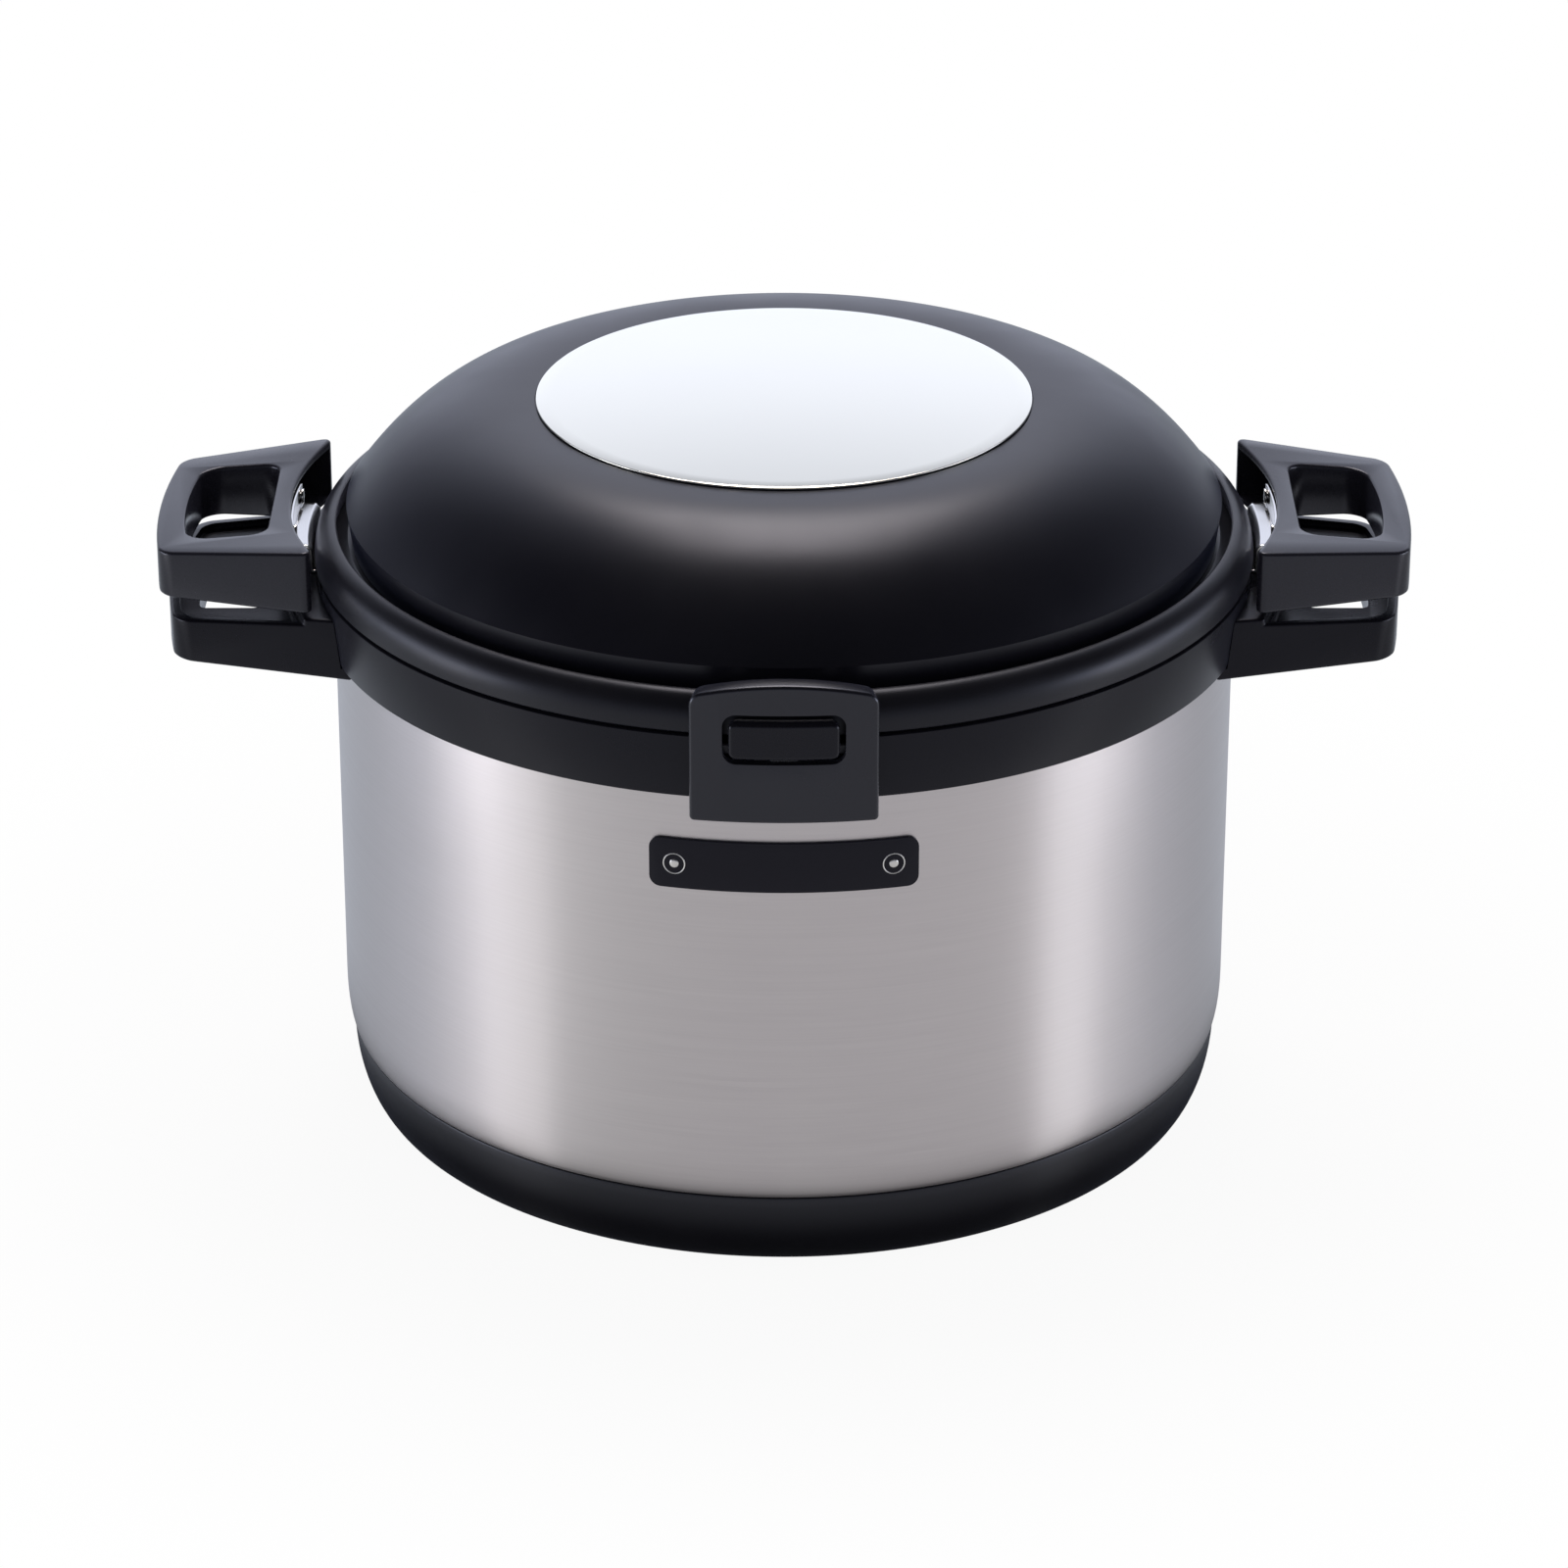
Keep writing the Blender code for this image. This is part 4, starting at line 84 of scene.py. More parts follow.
def add(tree, kind, sockets=(), **settings):
    """A node with its settings; each socket takes a constant or is linked to another node's output."""
    node = tree.nodes.new(kind)
    for setting, value in settings.items():
        setattr(node, setting, value)
    for socket, value in dict(sockets).items():
        if isinstance(value, bpy.types.NodeSocket):
            tree.links.new(value, node.inputs[socket])
        else:
            node.inputs[socket].default_value = value
    return node


def maths(tree, operation, *values):
    return add(tree, "ShaderNodeMath", enumerate(values), operation=operation).outputs["Value"]


def ranged(tree, source, start, end, low, high, kind="SMOOTHSTEP"):
    """Values from start to end, spread from low to high."""
    return add(tree, "ShaderNodeMapRange", {"Value": source, "From Min": start, "From Max": end, "To Min": low,
                                            "To Max": high}, interpolation_type=kind).outputs["Result"]


def ramp_of(tree, source, stops, kind):
    """A colour that runs through (place, colour) stops."""
    ramp = add(tree, "ShaderNodeValToRGB", {"Fac": source})
    ramp.color_ramp.interpolation = kind
    while len(ramp.color_ramp.elements) < len(stops):
        ramp.color_ramp.elements.new(1.0)
    for element, (position, colour) in zip(ramp.color_ramp.elements, stops):
        element.position = position
        element.color = (*colour, 1.0)
    return ramp.outputs["Color"]


bpy.ops.mesh.primitive_circle_add(vertices=64, radius=TABLE_RADIUS, fill_type="NGON",
                                  location=(0.0, 0.0, -TABLE_DROP))
floor = bpy.context.object
floor.name = "table_top"
bpy.ops.object.transform_apply(location=True, rotation=True, scale=True)
white_table, matt = principled("white_table", {"Base Color": (0.86, 0.86, 0.865, 1.0), "Roughness": 0.75,
                                               "Specular IOR Level": 0.25})
tree = white_table.node_tree
ray = add(tree, "ShaderNodeLightPath")
place = add(tree, "ShaderNodeTexCoord").outputs["Object"]
away = add(tree, "ShaderNodeVectorMath", {0: place}, operation="LENGTH").outputs["Value"]
# seen by the camera
backdrop_white = add(tree, "ShaderNodeEmission", {"Color": (1.0, 1.0, 1.0, 1.0)})
fade = ranged(tree, away, FADE_START, FADE_END, FADE_LEVEL, 1.0)
table = add(tree, "ShaderNodeMixShader", {"Fac": maths(tree, "MULTIPLY", fade, ray.outputs["Is Camera Ray"]),
                                          1: matt.outputs["BSDF"], 2: backdrop_white.outputs["Emission"]})
# seen in the steel and the plastic: the floor glows as a painted reflection, with painted shade close to the
# foot and two painted bright tracks that run out to the sides from the points that mirror them
across, along, _ = add(tree, "ShaderNodeSeparateXYZ", {"Vector": place}).outputs
outward = maths(tree, "MULTIPLY_ADD", maths(tree, "SIGN", across), -FOCUS_OUT, across)
forward = maths(tree, "MULTIPLY_ADD", along, -1.0, -FOCUS_FORWARD)
from_focus = add(tree, "ShaderNodeCombineXYZ", {"X": forward, "Y": outward})
compass = add(tree, "ShaderNodeTexGradient", {"Vector": from_focus.outputs["Vector"]}, gradient_type="RADIAL")
round_stops = [(0.5 + bearing / 360.0, (level, level * green, level * blue))
               for bearing, level, green, blue in PAINTED_REFLECTION_BY_BEARING]
out_stops = [(reach, (level, level, level)) for reach, level in PAINTED_REFLECTION_BY_REACH]
painted_floor_reflection = add(tree, "ShaderNodeEmission", {
    "Color": ramp_of(tree, compass.outputs["Fac"], round_stops, "B_SPLINE"),
    "Strength": ramp_of(tree, away, out_stops, "LINEAR")})
for_gloss = add(tree, "ShaderNodeMixShader", {"Fac": ray.outputs["Is Glossy Ray"], 1: table.outputs["Shader"],
                                              2: painted_floor_reflection.outputs["Emission"]})
tree.links.new(for_gloss.outputs["Shader"], tree.nodes["Material Output"].inputs["Surface"])
floor.data.materials.append(white_table)

# Room and lamps
# A photographer's set: white behind, dim in front of the cooker, a bright panel low at each side for the rim and
# the handles, one wide soft lamp above and behind the lid, and a small one at each side for the steel.
LAMP_AIM = 0.10
STRIP_HEIGHT = 0.17
STRIP_OUT = 1.42

room = bpy.data.worlds.new("studio_room")
room.use_nodes = True
tree = room.node_tree
tree.nodes.clear()
ray = add(tree, "ShaderNodeLightPath")
toward = add(tree, "ShaderNodeTexCoord").outputs["Generated"]
across, along, up = add(tree, "ShaderNodeSeparateXYZ", {"Vector": toward}).outputs
aside = maths(tree, "ABSOLUTE", across)
# the backdrop is dimmer higher up and to the sides, and the front falls to dark from the floor up
backdrop = maths(tree, "MULTIPLY", ranged(tree, up, 0.25, 0.80, 1.07, 0.46),
                 ranged(tree, aside, 0.20, 0.73, 1.0, 0.13))
front = ranged(tree, up, 0.02, 0.42, 0.42, 0.008)
behind = ranged(tree, along, -0.05, 0.62, 0.0, 1.0)
around = add(tree, "ShaderNodeMix", {0: behind, 2: front, 3: backdrop}, data_type="FLOAT").outputs[0]
side_panels = maths(tree, "MULTIPLY", ranged(tree, aside, 0.86, 0.97, 0.0, 1.0),
                    ranged(tree, up, 0.10, 0.28, 3.30, 0.0))
soft_fill = add(tree, "ShaderNodeBackground", {"Color": (0.97, 0.98, 1.0, 1.0), "Strength": 0.42})
reflections = add(tree, "ShaderNodeBackground", {"Color": (0.97, 1.02, 1.20, 1.0),
                                                 "Strength": maths(tree, "MAXIMUM", around, side_panels)})
white = add(tree, "ShaderNodeBackground", {"Color": (1.0, 1.0, 1.0, 1.0)})
for_gloss = add(tree, "ShaderNodeMixShader", {"Fac": ray.outputs["Is Glossy Ray"],
                                              1: soft_fill.outputs["Background"],
                                              2: reflections.outputs["Background"]})
straight = maths(tree, "MAXIMUM", ray.outputs["Is Camera Ray"], ray.outputs["Is Transmission Ray"])
for_camera = add(tree, "ShaderNodeMixShader", {"Fac": straight, 1: for_gloss.outputs["Shader"],
                                               2: white.outputs["Background"]})
add(tree, "ShaderNodeOutputWorld", {"Surface": for_camera.outputs["Shader"]})
bpy.context.scene.world = room


def soft_lamp(name, place, aim_height, size, power, colour):
    """A rectangular lamp at a place, turned to face a point on the vessel's axis."""
    bpy.ops.object.light_add(type="AREA", location=place)
    lamp = bpy.context.object
    lamp.name = name
    lamp.data.shape = "RECTANGLE"
    lamp.data.size, lamp.data.size_y = size
    lamp.data.energy = power
    lamp.data.color = colour
    lamp.visible_camera = False
    lamp.rotation_euler = (math.atan2(math.hypot(place[0], place[1]), place[2] - aim_height), 0.0,
                           math.atan2(-place[1], -place[0]) - math.pi / 2.0)


soft_lamp("top_softbox", (0.0, 0.75, 1.74), 0.18, (0.76, 1.14), 16.2, (1.0, 0.92, 0.88))
soft_lamp("left_strip", (-STRIP_OUT, -0.26, STRIP_HEIGHT), LAMP_AIM, (0.44, 0.34), 1.6, (1.0, 0.985, 0.99))
soft_lamp("right_strip", (STRIP_OUT, -0.15, STRIP_HEIGHT), LAMP_AIM, (0.36, 0.34), 1.0, (1.0, 0.985, 0.985))

# Outer shell
# The vacuum jacket's outer wall: 0.6 mm stainless sheet, drawn in at the foot and over the shoulder, and
# brushed round and round on a lathe.
SHELL_RADIUS = 0.1400
SHELL_SHEET = 0.0006
SHOULDER_ROUND = (0.0130, 0.0119)
SHOULDER_FOOT = 0.1630
MOUTH_RADIUS = SHELL_RADIUS - SHOULDER_ROUND[0]
DRAW_IN = (0.0023, 0.0140)
DRAW_IN_TOP = 0.0406
SHELL_FLOOR = 0.0060


def only(piece):
    """Select one piece, and leave edit mode."""
    if bpy.context.mode != "OBJECT":
        bpy.ops.object.mode_set(mode="OBJECT")
    bpy.ops.object.select_all(action="DESELECT")
    piece.select_set(True)
    bpy.context.view_layer.objects.active = piece


def arc(centre, reach, start, end, steps):
    """(radius, height) points on an arc round a centre, between two angles from level, in degrees."""
    angles = [math.radians(start + (end - start) * step / steps) for step in range(steps + 1)]
    return [(centre[0] + reach[0] * math.cos(angle), centre[1] + reach[1] * math.sin(angle)) for angle in angles]


def ring_by_ring(name, outline, facets=160):
    """A turned skin, raised from a circle through (radius, height) points; a radius of 0 closes it."""
    radius, height = outline[0]
    bpy.ops.mesh.primitive_circle_add(vertices=facets, radius=radius, location=(0.0, 0.0, height))
    piece = bpy.context.object
    piece.name = name
    bpy.ops.object.transform_apply(location=True, rotation=True, scale=True)
    bpy.ops.object.mode_set(mode="EDIT")
    bpy.ops.mesh.select_mode(type="VERT")
    bpy.ops.mesh.select_all(action="SELECT")
    for next_radius, next_height in outline[1:]:
        bpy.ops.mesh.extrude_edges_move(TRANSFORM_OT_translate={"value": (0.0, 0.0, next_height - height)})
        if next_radius == 0.0:
            bpy.ops.mesh.merge(type="CENTER")
            break
        scale = next_radius / radius
        bpy.ops.transform.resize(value=(scale, scale, 1.0), center_override=(0.0, 0.0, next_height))
        radius, height = next_radius, next_height
    bpy.ops.mesh.select_all(action="SELECT")
    bpy.ops.mesh.remove_doubles(threshold=0.00001)
    bpy.ops.mesh.normals_make_consistent(inside=False)
    bpy.ops.object.mode_set(mode="OBJECT")
    return piece


def apply_modifier(piece, kind, **settings):
    only(piece)
    bpy.ops.object.modifier_add(type=kind)
    modifier = piece.modifiers[-1]
    for setting, value in settings.items():
        setattr(modifier, setting, value)
    bpy.ops.object.modifier_apply(modifier=modifier.name)


def sheet_wall(piece, thickness):
    """Thicken a skin inwards to a sheet."""
    apply_modifier(piece, "SOLIDIFY", thickness=thickness, offset=-1.0, use_even_offset=True)


def dress(piece, material, angle=30.0):
    """Smooth shading broken at hard edges, and the piece's one material."""
    only(piece)
    bpy.ops.object.transform_apply(location=True, rotation=True, scale=True)
    bpy.ops.object.shade_smooth_by_angle(angle=math.radians(angle))
    piece.data.materials.clear()
    piece.data.materials.append(material)


def grain(shader, scale, detail=3.0):
    """A noise that follows the piece, stretched by a scale along each axis."""
    tree = shader.id_data
    place = add(tree, "ShaderNodeTexCoord").outputs["Object"]
    stretch = add(tree, "ShaderNodeMapping", {"Vector": place, "Scale": scale}).outputs["Vector"]
    return add(tree, "ShaderNodeTexNoise", {"Vector": stretch, "Scale": 1.0, "Detail": detail,
                                            "Roughness": 0.6}).outputs["Fac"]


def spread(shader, noise, low, high):
    """The noise's middle values, spread from low to high."""
    return ranged(shader.id_data, noise, 0.3, 0.7, low, high, "LINEAR")


def tint(shader, noise, low, high):
    """The base colour, from one shade to another along a noise."""
    shades = add(shader.id_data, "ShaderNodeMix", {0: spread(shader, noise, 0.0, 1.0)}, data_type="RGBA")
    shades.inputs[6].default_value = (*low, 1.0)
    shades.inputs[7].default_value = (*high, 1.0)
    shader.id_data.links.new(shades.outputs[2], shader.inputs["Base Color"])


def vary_gloss(shader, noise, low, high):
    """The roughness, from low to high along a noise."""
    shader.id_data.links.new(spread(shader, noise, low, high), shader.inputs["Roughness"])


def raise_grain(shader, noise, distance, strength=1.0):
    """A relief along a noise."""
    bump = add(shader.id_data, "ShaderNodeBump", {"Strength": strength, "Distance": distance, "Height": noise})
    shader.id_data.links.new(bump.outputs["Normal"], shader.inputs["Normal"])


def brush_round(shader, amount):
    """Highlights drawn out across marks that run round the vessel's axis."""
    shader.inputs["Anisotropic"].default_value = amount
    shader.inputs["Anisotropic Rotation"].default_value = 0.25
    tangent = add(shader.id_data, "ShaderNodeTangent", direction_type="RADIAL", axis="Z")
    shader.id_data.links.new(tangent.outputs["Tangent"], shader.inputs["Tangent"])


shell = ring_by_ring(
    "steel_shell",
    arc((MOUTH_RADIUS, SHOULDER_FOOT), SHOULDER_ROUND, 90, 0, 9)
    + [(SHELL_RADIUS, 0.1200), (SHELL_RADIUS, 0.0800)]
    + arc((SHELL_RADIUS - DRAW_IN[0], DRAW_IN_TOP), DRAW_IN, 0, -90, 9)
    + [(0.1353, 0.0260), (0.1350, 0.0215), (0.1338, 0.0150), (0.1312, 0.0098), (0.1290, 0.0075),
       (0.1260, SHELL_FLOOR), (0.0600, SHELL_FLOOR), (0.0, SHELL_FLOOR)], facets=240)
sheet_wall(shell, SHELL_SHEET)
brushed_steel, shader = principled("brushed_steel", {"Metallic": 1.0})
tint(shader, grain(shader, (9.0, 9.0, 1500.0), 4.0), (0.692, 0.655, 0.668), (0.718, 0.681, 0.694))
fine = grain(shader, (40.0, 40.0, 4200.0), 2.0)
vary_gloss(shader, fine, 0.275, 0.345)
raise_grain(shader, fine, 0.00001, 0.4)
brush_round(shader, 0.80)
dress(shell, brushed_steel, 25.0)
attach(shell, "vessel")
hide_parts("outer_shell")

# Inner liner
# The vacuum jacket's inner wall, pressed from plain stainless sheet: a deep cup with a rounded bottom corner,
# whose flared lip meets the shell's mouth.
LINER_RADIUS = 0.1256
LINER_CORNER = 0.0120
LINER_FLOOR = 0.0306
LINER_SHEET = 0.0006
liner = ring_by_ring(
    "jacket_liner",
    [(0.1267, 0.1749), (0.1260, 0.1739), (LINER_RADIUS, 0.1725), (LINER_RADIUS, 0.1100)]
    + arc((LINER_RADIUS - LINER_CORNER, LINER_FLOOR + LINER_CORNER), (LINER_CORNER, LINER_CORNER), 0, -90, 6)
    + [(0.0600, LINER_FLOOR), (0.0, LINER_FLOOR)])
sheet_wall(liner, LINER_SHEET)
plain_steel, shader = principled("plain_steel", {"Metallic": 1.0})
spun = grain(shader, (26.0, 26.0, 1400.0))
vary_gloss(shader, spun, 0.22, 0.36)
tint(shader, spun, (0.62, 0.615, 0.61), (0.70, 0.695, 0.69))
brush_round(shader, 0.45)
dress(liner, plain_steel)
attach(liner, "vessel")
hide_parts("inner_liner")

# Base cup
# A dark moulded cup pressed over the shell's foot. It is rounded down to its underside, which has a seat for
# the foot ring and a shallow moulded step inside it.
CUP_RADIUS = 0.1380
CUP_ROUND = (0.0100, 0.0244)
CUP_FLOOR = 0.0012
CUP_WALL = 0.0020
CUP_SHOULDER = CUP_FLOOR + CUP_ROUND[1]
SEAT_OUTER, SEAT_INNER = 0.1210, 0.1110
SEAT_TOP = 0.0034
STEP_TOP = 0.0020


def moulded(name, colour, roughness, grain_size=2600.0, depth=0.000012, gloss=0.30, sheen=0.10):
    """Moulded plastic: a fine sparked skin, and a slight drift of gloss over larger patches."""
    material, shader = principled(name, {
        "IOR": 1.52, "Specular IOR Level": gloss, "Specular Tint": (0.84, 0.87, 1.0, 1.0), "Sheen Weight": sheen,
        "Sheen Roughness": 0.35, "Sheen Tint": (0.62, 0.68, 1.0, 1.0)})
    skin = grain(shader, (grain_size, grain_size, grain_size), 1.0)
    vary_gloss(shader, grain(shader, (38.0, 38.0, 38.0), 2.0), roughness - 0.035, roughness + 0.035)
    tint(shader, skin, colour, [value * 1.25 + 0.0008 for value in colour])
    raise_grain(shader, skin, depth)
    return material


cup = ring_by_ring(
    "dark_base_cup",
    [(0.1372, 0.0263), (0.1378, 0.0261), (CUP_RADIUS, CUP_SHOULDER)]
    + arc((CUP_RADIUS - CUP_ROUND[0], CUP_SHOULDER), CUP_ROUND, -6, -90, 14)
    + [(SEAT_OUTER, CUP_FLOOR), (SEAT_OUTER, SEAT_TOP), (SEAT_INNER, SEAT_TOP), (SEAT_INNER, CUP_FLOOR),
       (0.1040, CUP_FLOOR), (0.1032, STEP_TOP), (0.0300, STEP_TOP), (0.0292, CUP_FLOOR), (0.0, CUP_FLOOR)],
    facets=240)
sheet_wall(cup, CUP_WALL)
dress(cup, moulded("base_plastic", (0.0030, 0.0028, 0.0050), 0.36, gloss=0.56), 25.0)
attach(cup, "vessel")
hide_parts("base_cup")

# Foot ring
# A ring of black rubber held in the base cup's seat, flat where the cooker stands on it.
# the gap that touching pieces keep
FIT = 0.0003
FOOT_OUTER, FOOT_INNER = SEAT_OUTER - FIT, SEAT_INNER + FIT
FOOT_TOP = SEAT_TOP - FIT
FOOT_CORNER = 0.0004
foot = ring_by_ring("rubber_foot", [
    (FOOT_OUTER, FOOT_TOP), (FOOT_OUTER, FOOT_CORNER), (FOOT_OUTER - FOOT_CORNER, 0.0),
    (FOOT_INNER + FOOT_CORNER, 0.0), (FOOT_INNER, FOOT_CORNER), (FOOT_INNER, FOOT_TOP), (FOOT_OUTER, FOOT_TOP)],
    facets=240)
dress(foot, moulded("foot_rubber", (0.020, 0.020, 0.020), 0.72, 1500.0, 0.00004))
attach(foot, "vessel")
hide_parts("foot_ring")

# Collar ring
# A moulded ring over the shell's shoulder, slightly wider at the top. The pot's brackets rest in its two
# notches, the latch and the hinge stand in its pockets, and a lug at each side takes a handle's screws.
COLLAR_TOP, COLLAR_FOOT = 0.1817, 0.1613
COLLAR_RADIUS = 0.1456
COLLAR_FOOT_RADIUS = 0.1434
COLLAR_BORE = 0.1254
COLLAR_SEAT = 0.1761
ABOVE_COLLAR = 0.1860
LUG_HALF = 0.0200
LUG_IN, LUG_OUT = 0.1412, 0.1556
LUG_FOOT, LUG_TOP = 0.1628, 0.1678
NOTCH_HALF, NOTCH_REACH = 0.0340, 0.1600
NOTCH_FLOOR = 0.1789
LATCH_POCKET_HALF, HINGE_POCKET_HALF = 0.0215, 0.0142
LATCH_POCKET_Y, HINGE_POCKET_Y = (-0.1500, -0.1315), (0.1421, 0.1500)
LATCH_POCKET_FLOOR, HINGE_POCKET_FLOOR = 0.1630, 0.1705


def both(half):
    """From minus to plus a half width."""
    return -half, half


def block(name, x, y, z):
    """A plain block between its ends along each axis, to be shaped or to cut with."""
    bpy.ops.mesh.primitive_cube_add(size=1.0, location=[(low + high) / 2.0 for low, high in (x, y, z)])
    piece = bpy.context.object
    piece.name = name
    piece.scale = [high - low for low, high in (x, y, z)]
    bpy.ops.object.transform_apply(location=True, rotation=True, scale=True)
    return piece


def ease_edges(piece, width, segments=3, angle=30.0):
    """Round the edges that are sharper than an angle."""
    apply_modifier(piece, "BEVEL", width=width, segments=segments, limit_method="ANGLE",
                   angle_limit=math.radians(angle), use_clamp_overlap=True)


def combine(piece, tool, operation="DIFFERENCE"):
    """A Boolean with a tool that is used up."""
    apply_modifier(piece, "BOOLEAN", object=tool, operation=operation, solver="EXACT")
    bpy.data.objects.remove(tool, do_unlink=True)


collar = ring_by_ring(
    "moulded_collar",
    [(COLLAR_RADIUS, COLLAR_TOP), (COLLAR_FOOT_RADIUS, COLLAR_FOOT), (SHELL_RADIUS + FIT, COLLAR_FOOT)]
    + arc((MOUTH_RADIUS, SHOULDER_FOOT), [reach + FIT for reach in SHOULDER_ROUND], 0, 90, 9)
    + [(MOUTH_RADIUS, COLLAR_SEAT), (COLLAR_BORE, COLLAR_SEAT), (COLLAR_BORE, COLLAR_TOP),
       (COLLAR_RADIUS, COLLAR_TOP)], facets=240)
ease_edges(collar, 0.0005)
for lug_x in ((-LUG_OUT, -LUG_IN), (LUG_IN, LUG_OUT)):
    combine(collar, block("collar_lug", lug_x, both(LUG_HALF), (LUG_FOOT, LUG_TOP)), "UNION")
for name, x, y, floor_height in (
        ("bracket_notches", both(NOTCH_REACH), both(NOTCH_HALF), NOTCH_FLOOR),
        ("latch_pocket", both(LATCH_POCKET_HALF), LATCH_POCKET_Y, LATCH_POCKET_FLOOR),
        ("hinge_pocket", both(HINGE_POCKET_HALF), HINGE_POCKET_Y, HINGE_POCKET_FLOOR)):
    combine(collar, block(name, x, y, (floor_height, ABOVE_COLLAR)))
dress(collar, moulded("collar_plastic", (0.0048, 0.0044, 0.0076), 0.30, gloss=0.24))
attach(collar, "vessel")
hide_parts("collar_ring")

# Carry handles
# Two black moulded loops screwed up under the collar's lugs. A band wraps the collar and steps down to the grip,
# whose top is sunk a little inside a narrow rim, round the finger window.
CARRY_ROOT, CARRY_TIP = 0.1320, 0.1908
CARRY_ROOT_HALF, CARRY_TIP_HALF = 0.0489, 0.0394
CARRY_Z = (0.1579, 0.1768)
CARRY_RISE = 0.0012
CARRY_CORNER, CARRY_BOW = 0.0056, 0.0042
CARRY_RIM = 0.0028
SLOPE_X = (COLLAR_RADIUS, CARRY_TIP)
BAND_RADIUS = 0.1534
GRIP_Z = (0.1747, 0.1900)
TRAY_ROOT, TRAY_ROOT_HALF = 0.1480, 0.0463
TRAY_Z = (0.1722, 0.1790)
TRAY_START_RADIUS = 0.1546
CARRY_WINDOW_X = (0.1600, 0.1812)
CARRY_WINDOW_HALVES = (0.0262, 0.0250)
POST_Z = (0.1600, 0.2000)


def choose(piece, test, kind="VERT"):
    """Select a piece's vertices by their place, or its edges by their two ends, and go to edit mode."""
    only(piece)
    bpy.ops.object.mode_set(mode="EDIT")
    bpy.ops.mesh.select_mode(type=kind)
    bpy.ops.mesh.select_all(action="DESELECT")
    bpy.ops.object.mode_set(mode="OBJECT")
    vertices = piece.data.vertices
    if kind == "VERT":
        for vertex in vertices:
            vertex.select = test(vertex.co)
    else:
        for edge in piece.data.edges:
            edge.select = test(*(vertices[index].co for index in edge.vertices))
    bpy.ops.object.mode_set(mode="EDIT")


def loop_blank(name, x, halves, z, tip_round, bow, root_round=0.0, hollow=None):
    """A grip's outline as a slab: tapered, rounded at its upright corners, bowed at its tip, hollowed at its root."""
    (root, tip), (root_half, tip_half), (low, high) = x, halves, z
    piece = block(name, (root, tip - bow), both(root_half), z)
    middle = (root + tip) / 2.0
    choose(piece, lambda co: co.x > middle)
    bpy.ops.transform.resize(value=(1.0, tip_half / root_half, 1.0), center_override=(tip, 0.0, low))
    for rounding, outer in ((tip_round, True), (root_round, False)):
        if rounding:
            choose(piece, lambda a, b: (a.x > middle) == outer and (b.x > middle) == outer
                   and abs(a.z - b.z) > (high - low) / 2.0, "EDGE")
            bpy.ops.mesh.bevel(offset=rounding, offset_type="OFFSET", segments=10, affect="EDGES")
    for end, half in ((tip - bow, tip_half), (root, root_half)):
        choose(piece, lambda a, b: abs(a.z - b.z) < 0.0001 and abs(a.x - end) < 0.0001
               and abs(b.x - end) < 0.0001 and abs(a.y - b.y) > half / 2.0, "EDGE")
        bpy.ops.mesh.subdivide(number_cuts=23)
    bpy.ops.object.mode_set(mode="OBJECT")
    for vertex in piece.data.vertices:
        if vertex.co.x > middle:
            vertex.co.x += bow * (1.0 - min(1.0, (vertex.co.y / tip_half) ** 2)) * min(
                1.0, (vertex.co.x - middle) / (tip - bow - middle))
        elif hollow and vertex.co.x < root + root_round + 0.0001:
            reach, radius = hollow
            vertex.co.x += reach - radius + math.sqrt(radius ** 2 - vertex.co.y ** 2) - root
    return piece


def tilt(piece, x, z, top_fall, low_rise):
    """Lower the top and raise the underside steadily from the root to the tip."""
    for vertex in piece.data.vertices:
        along = (vertex.co.x - x[0]) / (x[1] - x[0])
        share = (vertex.co.z - z[0]) / (z[1] - z[0])
        vertex.co.z += along * (low_rise * (1.0 - share) - top_fall * share)


def round_post(name, radius):
    """An upright cylinder on the vessel's axis, to cut with."""
    bpy.ops.mesh.primitive_cylinder_add(vertices=256, radius=radius, depth=POST_Z[1] - POST_Z[0],
                                        location=(0.0, 0.0, sum(POST_Z) / 2.0))
    bpy.context.object.name = name
    return bpy.context.object


def collar_fit(name, top, upper=()):
    """What a piece that fits round the collar loses: all that the collar and the shell take up, and a fit."""
    wide = upper[0][0] if upper else COLLAR_RADIUS + FIT
    return ring_by_ring(name, [(wide, top)] + list(upper) + [
        (COLLAR_RADIUS + FIT, COLLAR_TOP), (COLLAR_FOOT_RADIUS + FIT, COLLAR_FOOT - FIT),
        (SHELL_RADIUS + FIT, COLLAR_FOOT - FIT), (SHELL_RADIUS + FIT, 0.1500), (0.1000, 0.1500), (0.1000, top),
        (wide, top)], facets=240)


def half_turn(piece):
    """Turn a piece to the cooker's other side."""
    only(piece)
    piece.rotation_euler = (0.0, 0.0, math.pi)
    bpy.ops.object.transform_apply(location=True, rotation=True, scale=True)


def other_side(piece, name):
    """The same piece on the cooker's other side."""
    only(piece)
    bpy.ops.object.duplicate(linked=False)
    twin = bpy.context.object
    twin.name = name
    half_turn(twin)
    return twin


carry = loop_blank("carry_handle_r", (CARRY_ROOT, CARRY_TIP), (CARRY_ROOT_HALF, CARRY_TIP_HALF), CARRY_Z,
                   tip_round=CARRY_CORNER, bow=CARRY_BOW)
tilt(carry, SLOPE_X, CARRY_Z, 0.0, 2.0 * CARRY_RISE)
step_down = block("step_down", (0.1400, 0.2000), both(0.0600), GRIP_Z)
tilt(step_down, SLOPE_X, GRIP_Z, 0.0, -CARRY_RISE)
combine(step_down, round_post("band_front", BAND_RADIUS))
combine(carry, step_down)
ease_edges(carry, 0.0009)
tray = loop_blank("tray_cut", (TRAY_ROOT, CARRY_TIP - CARRY_RIM),
                  (TRAY_ROOT_HALF - CARRY_RIM, CARRY_TIP_HALF - CARRY_RIM), TRAY_Z, tip_round=0.0040, bow=0.0040)
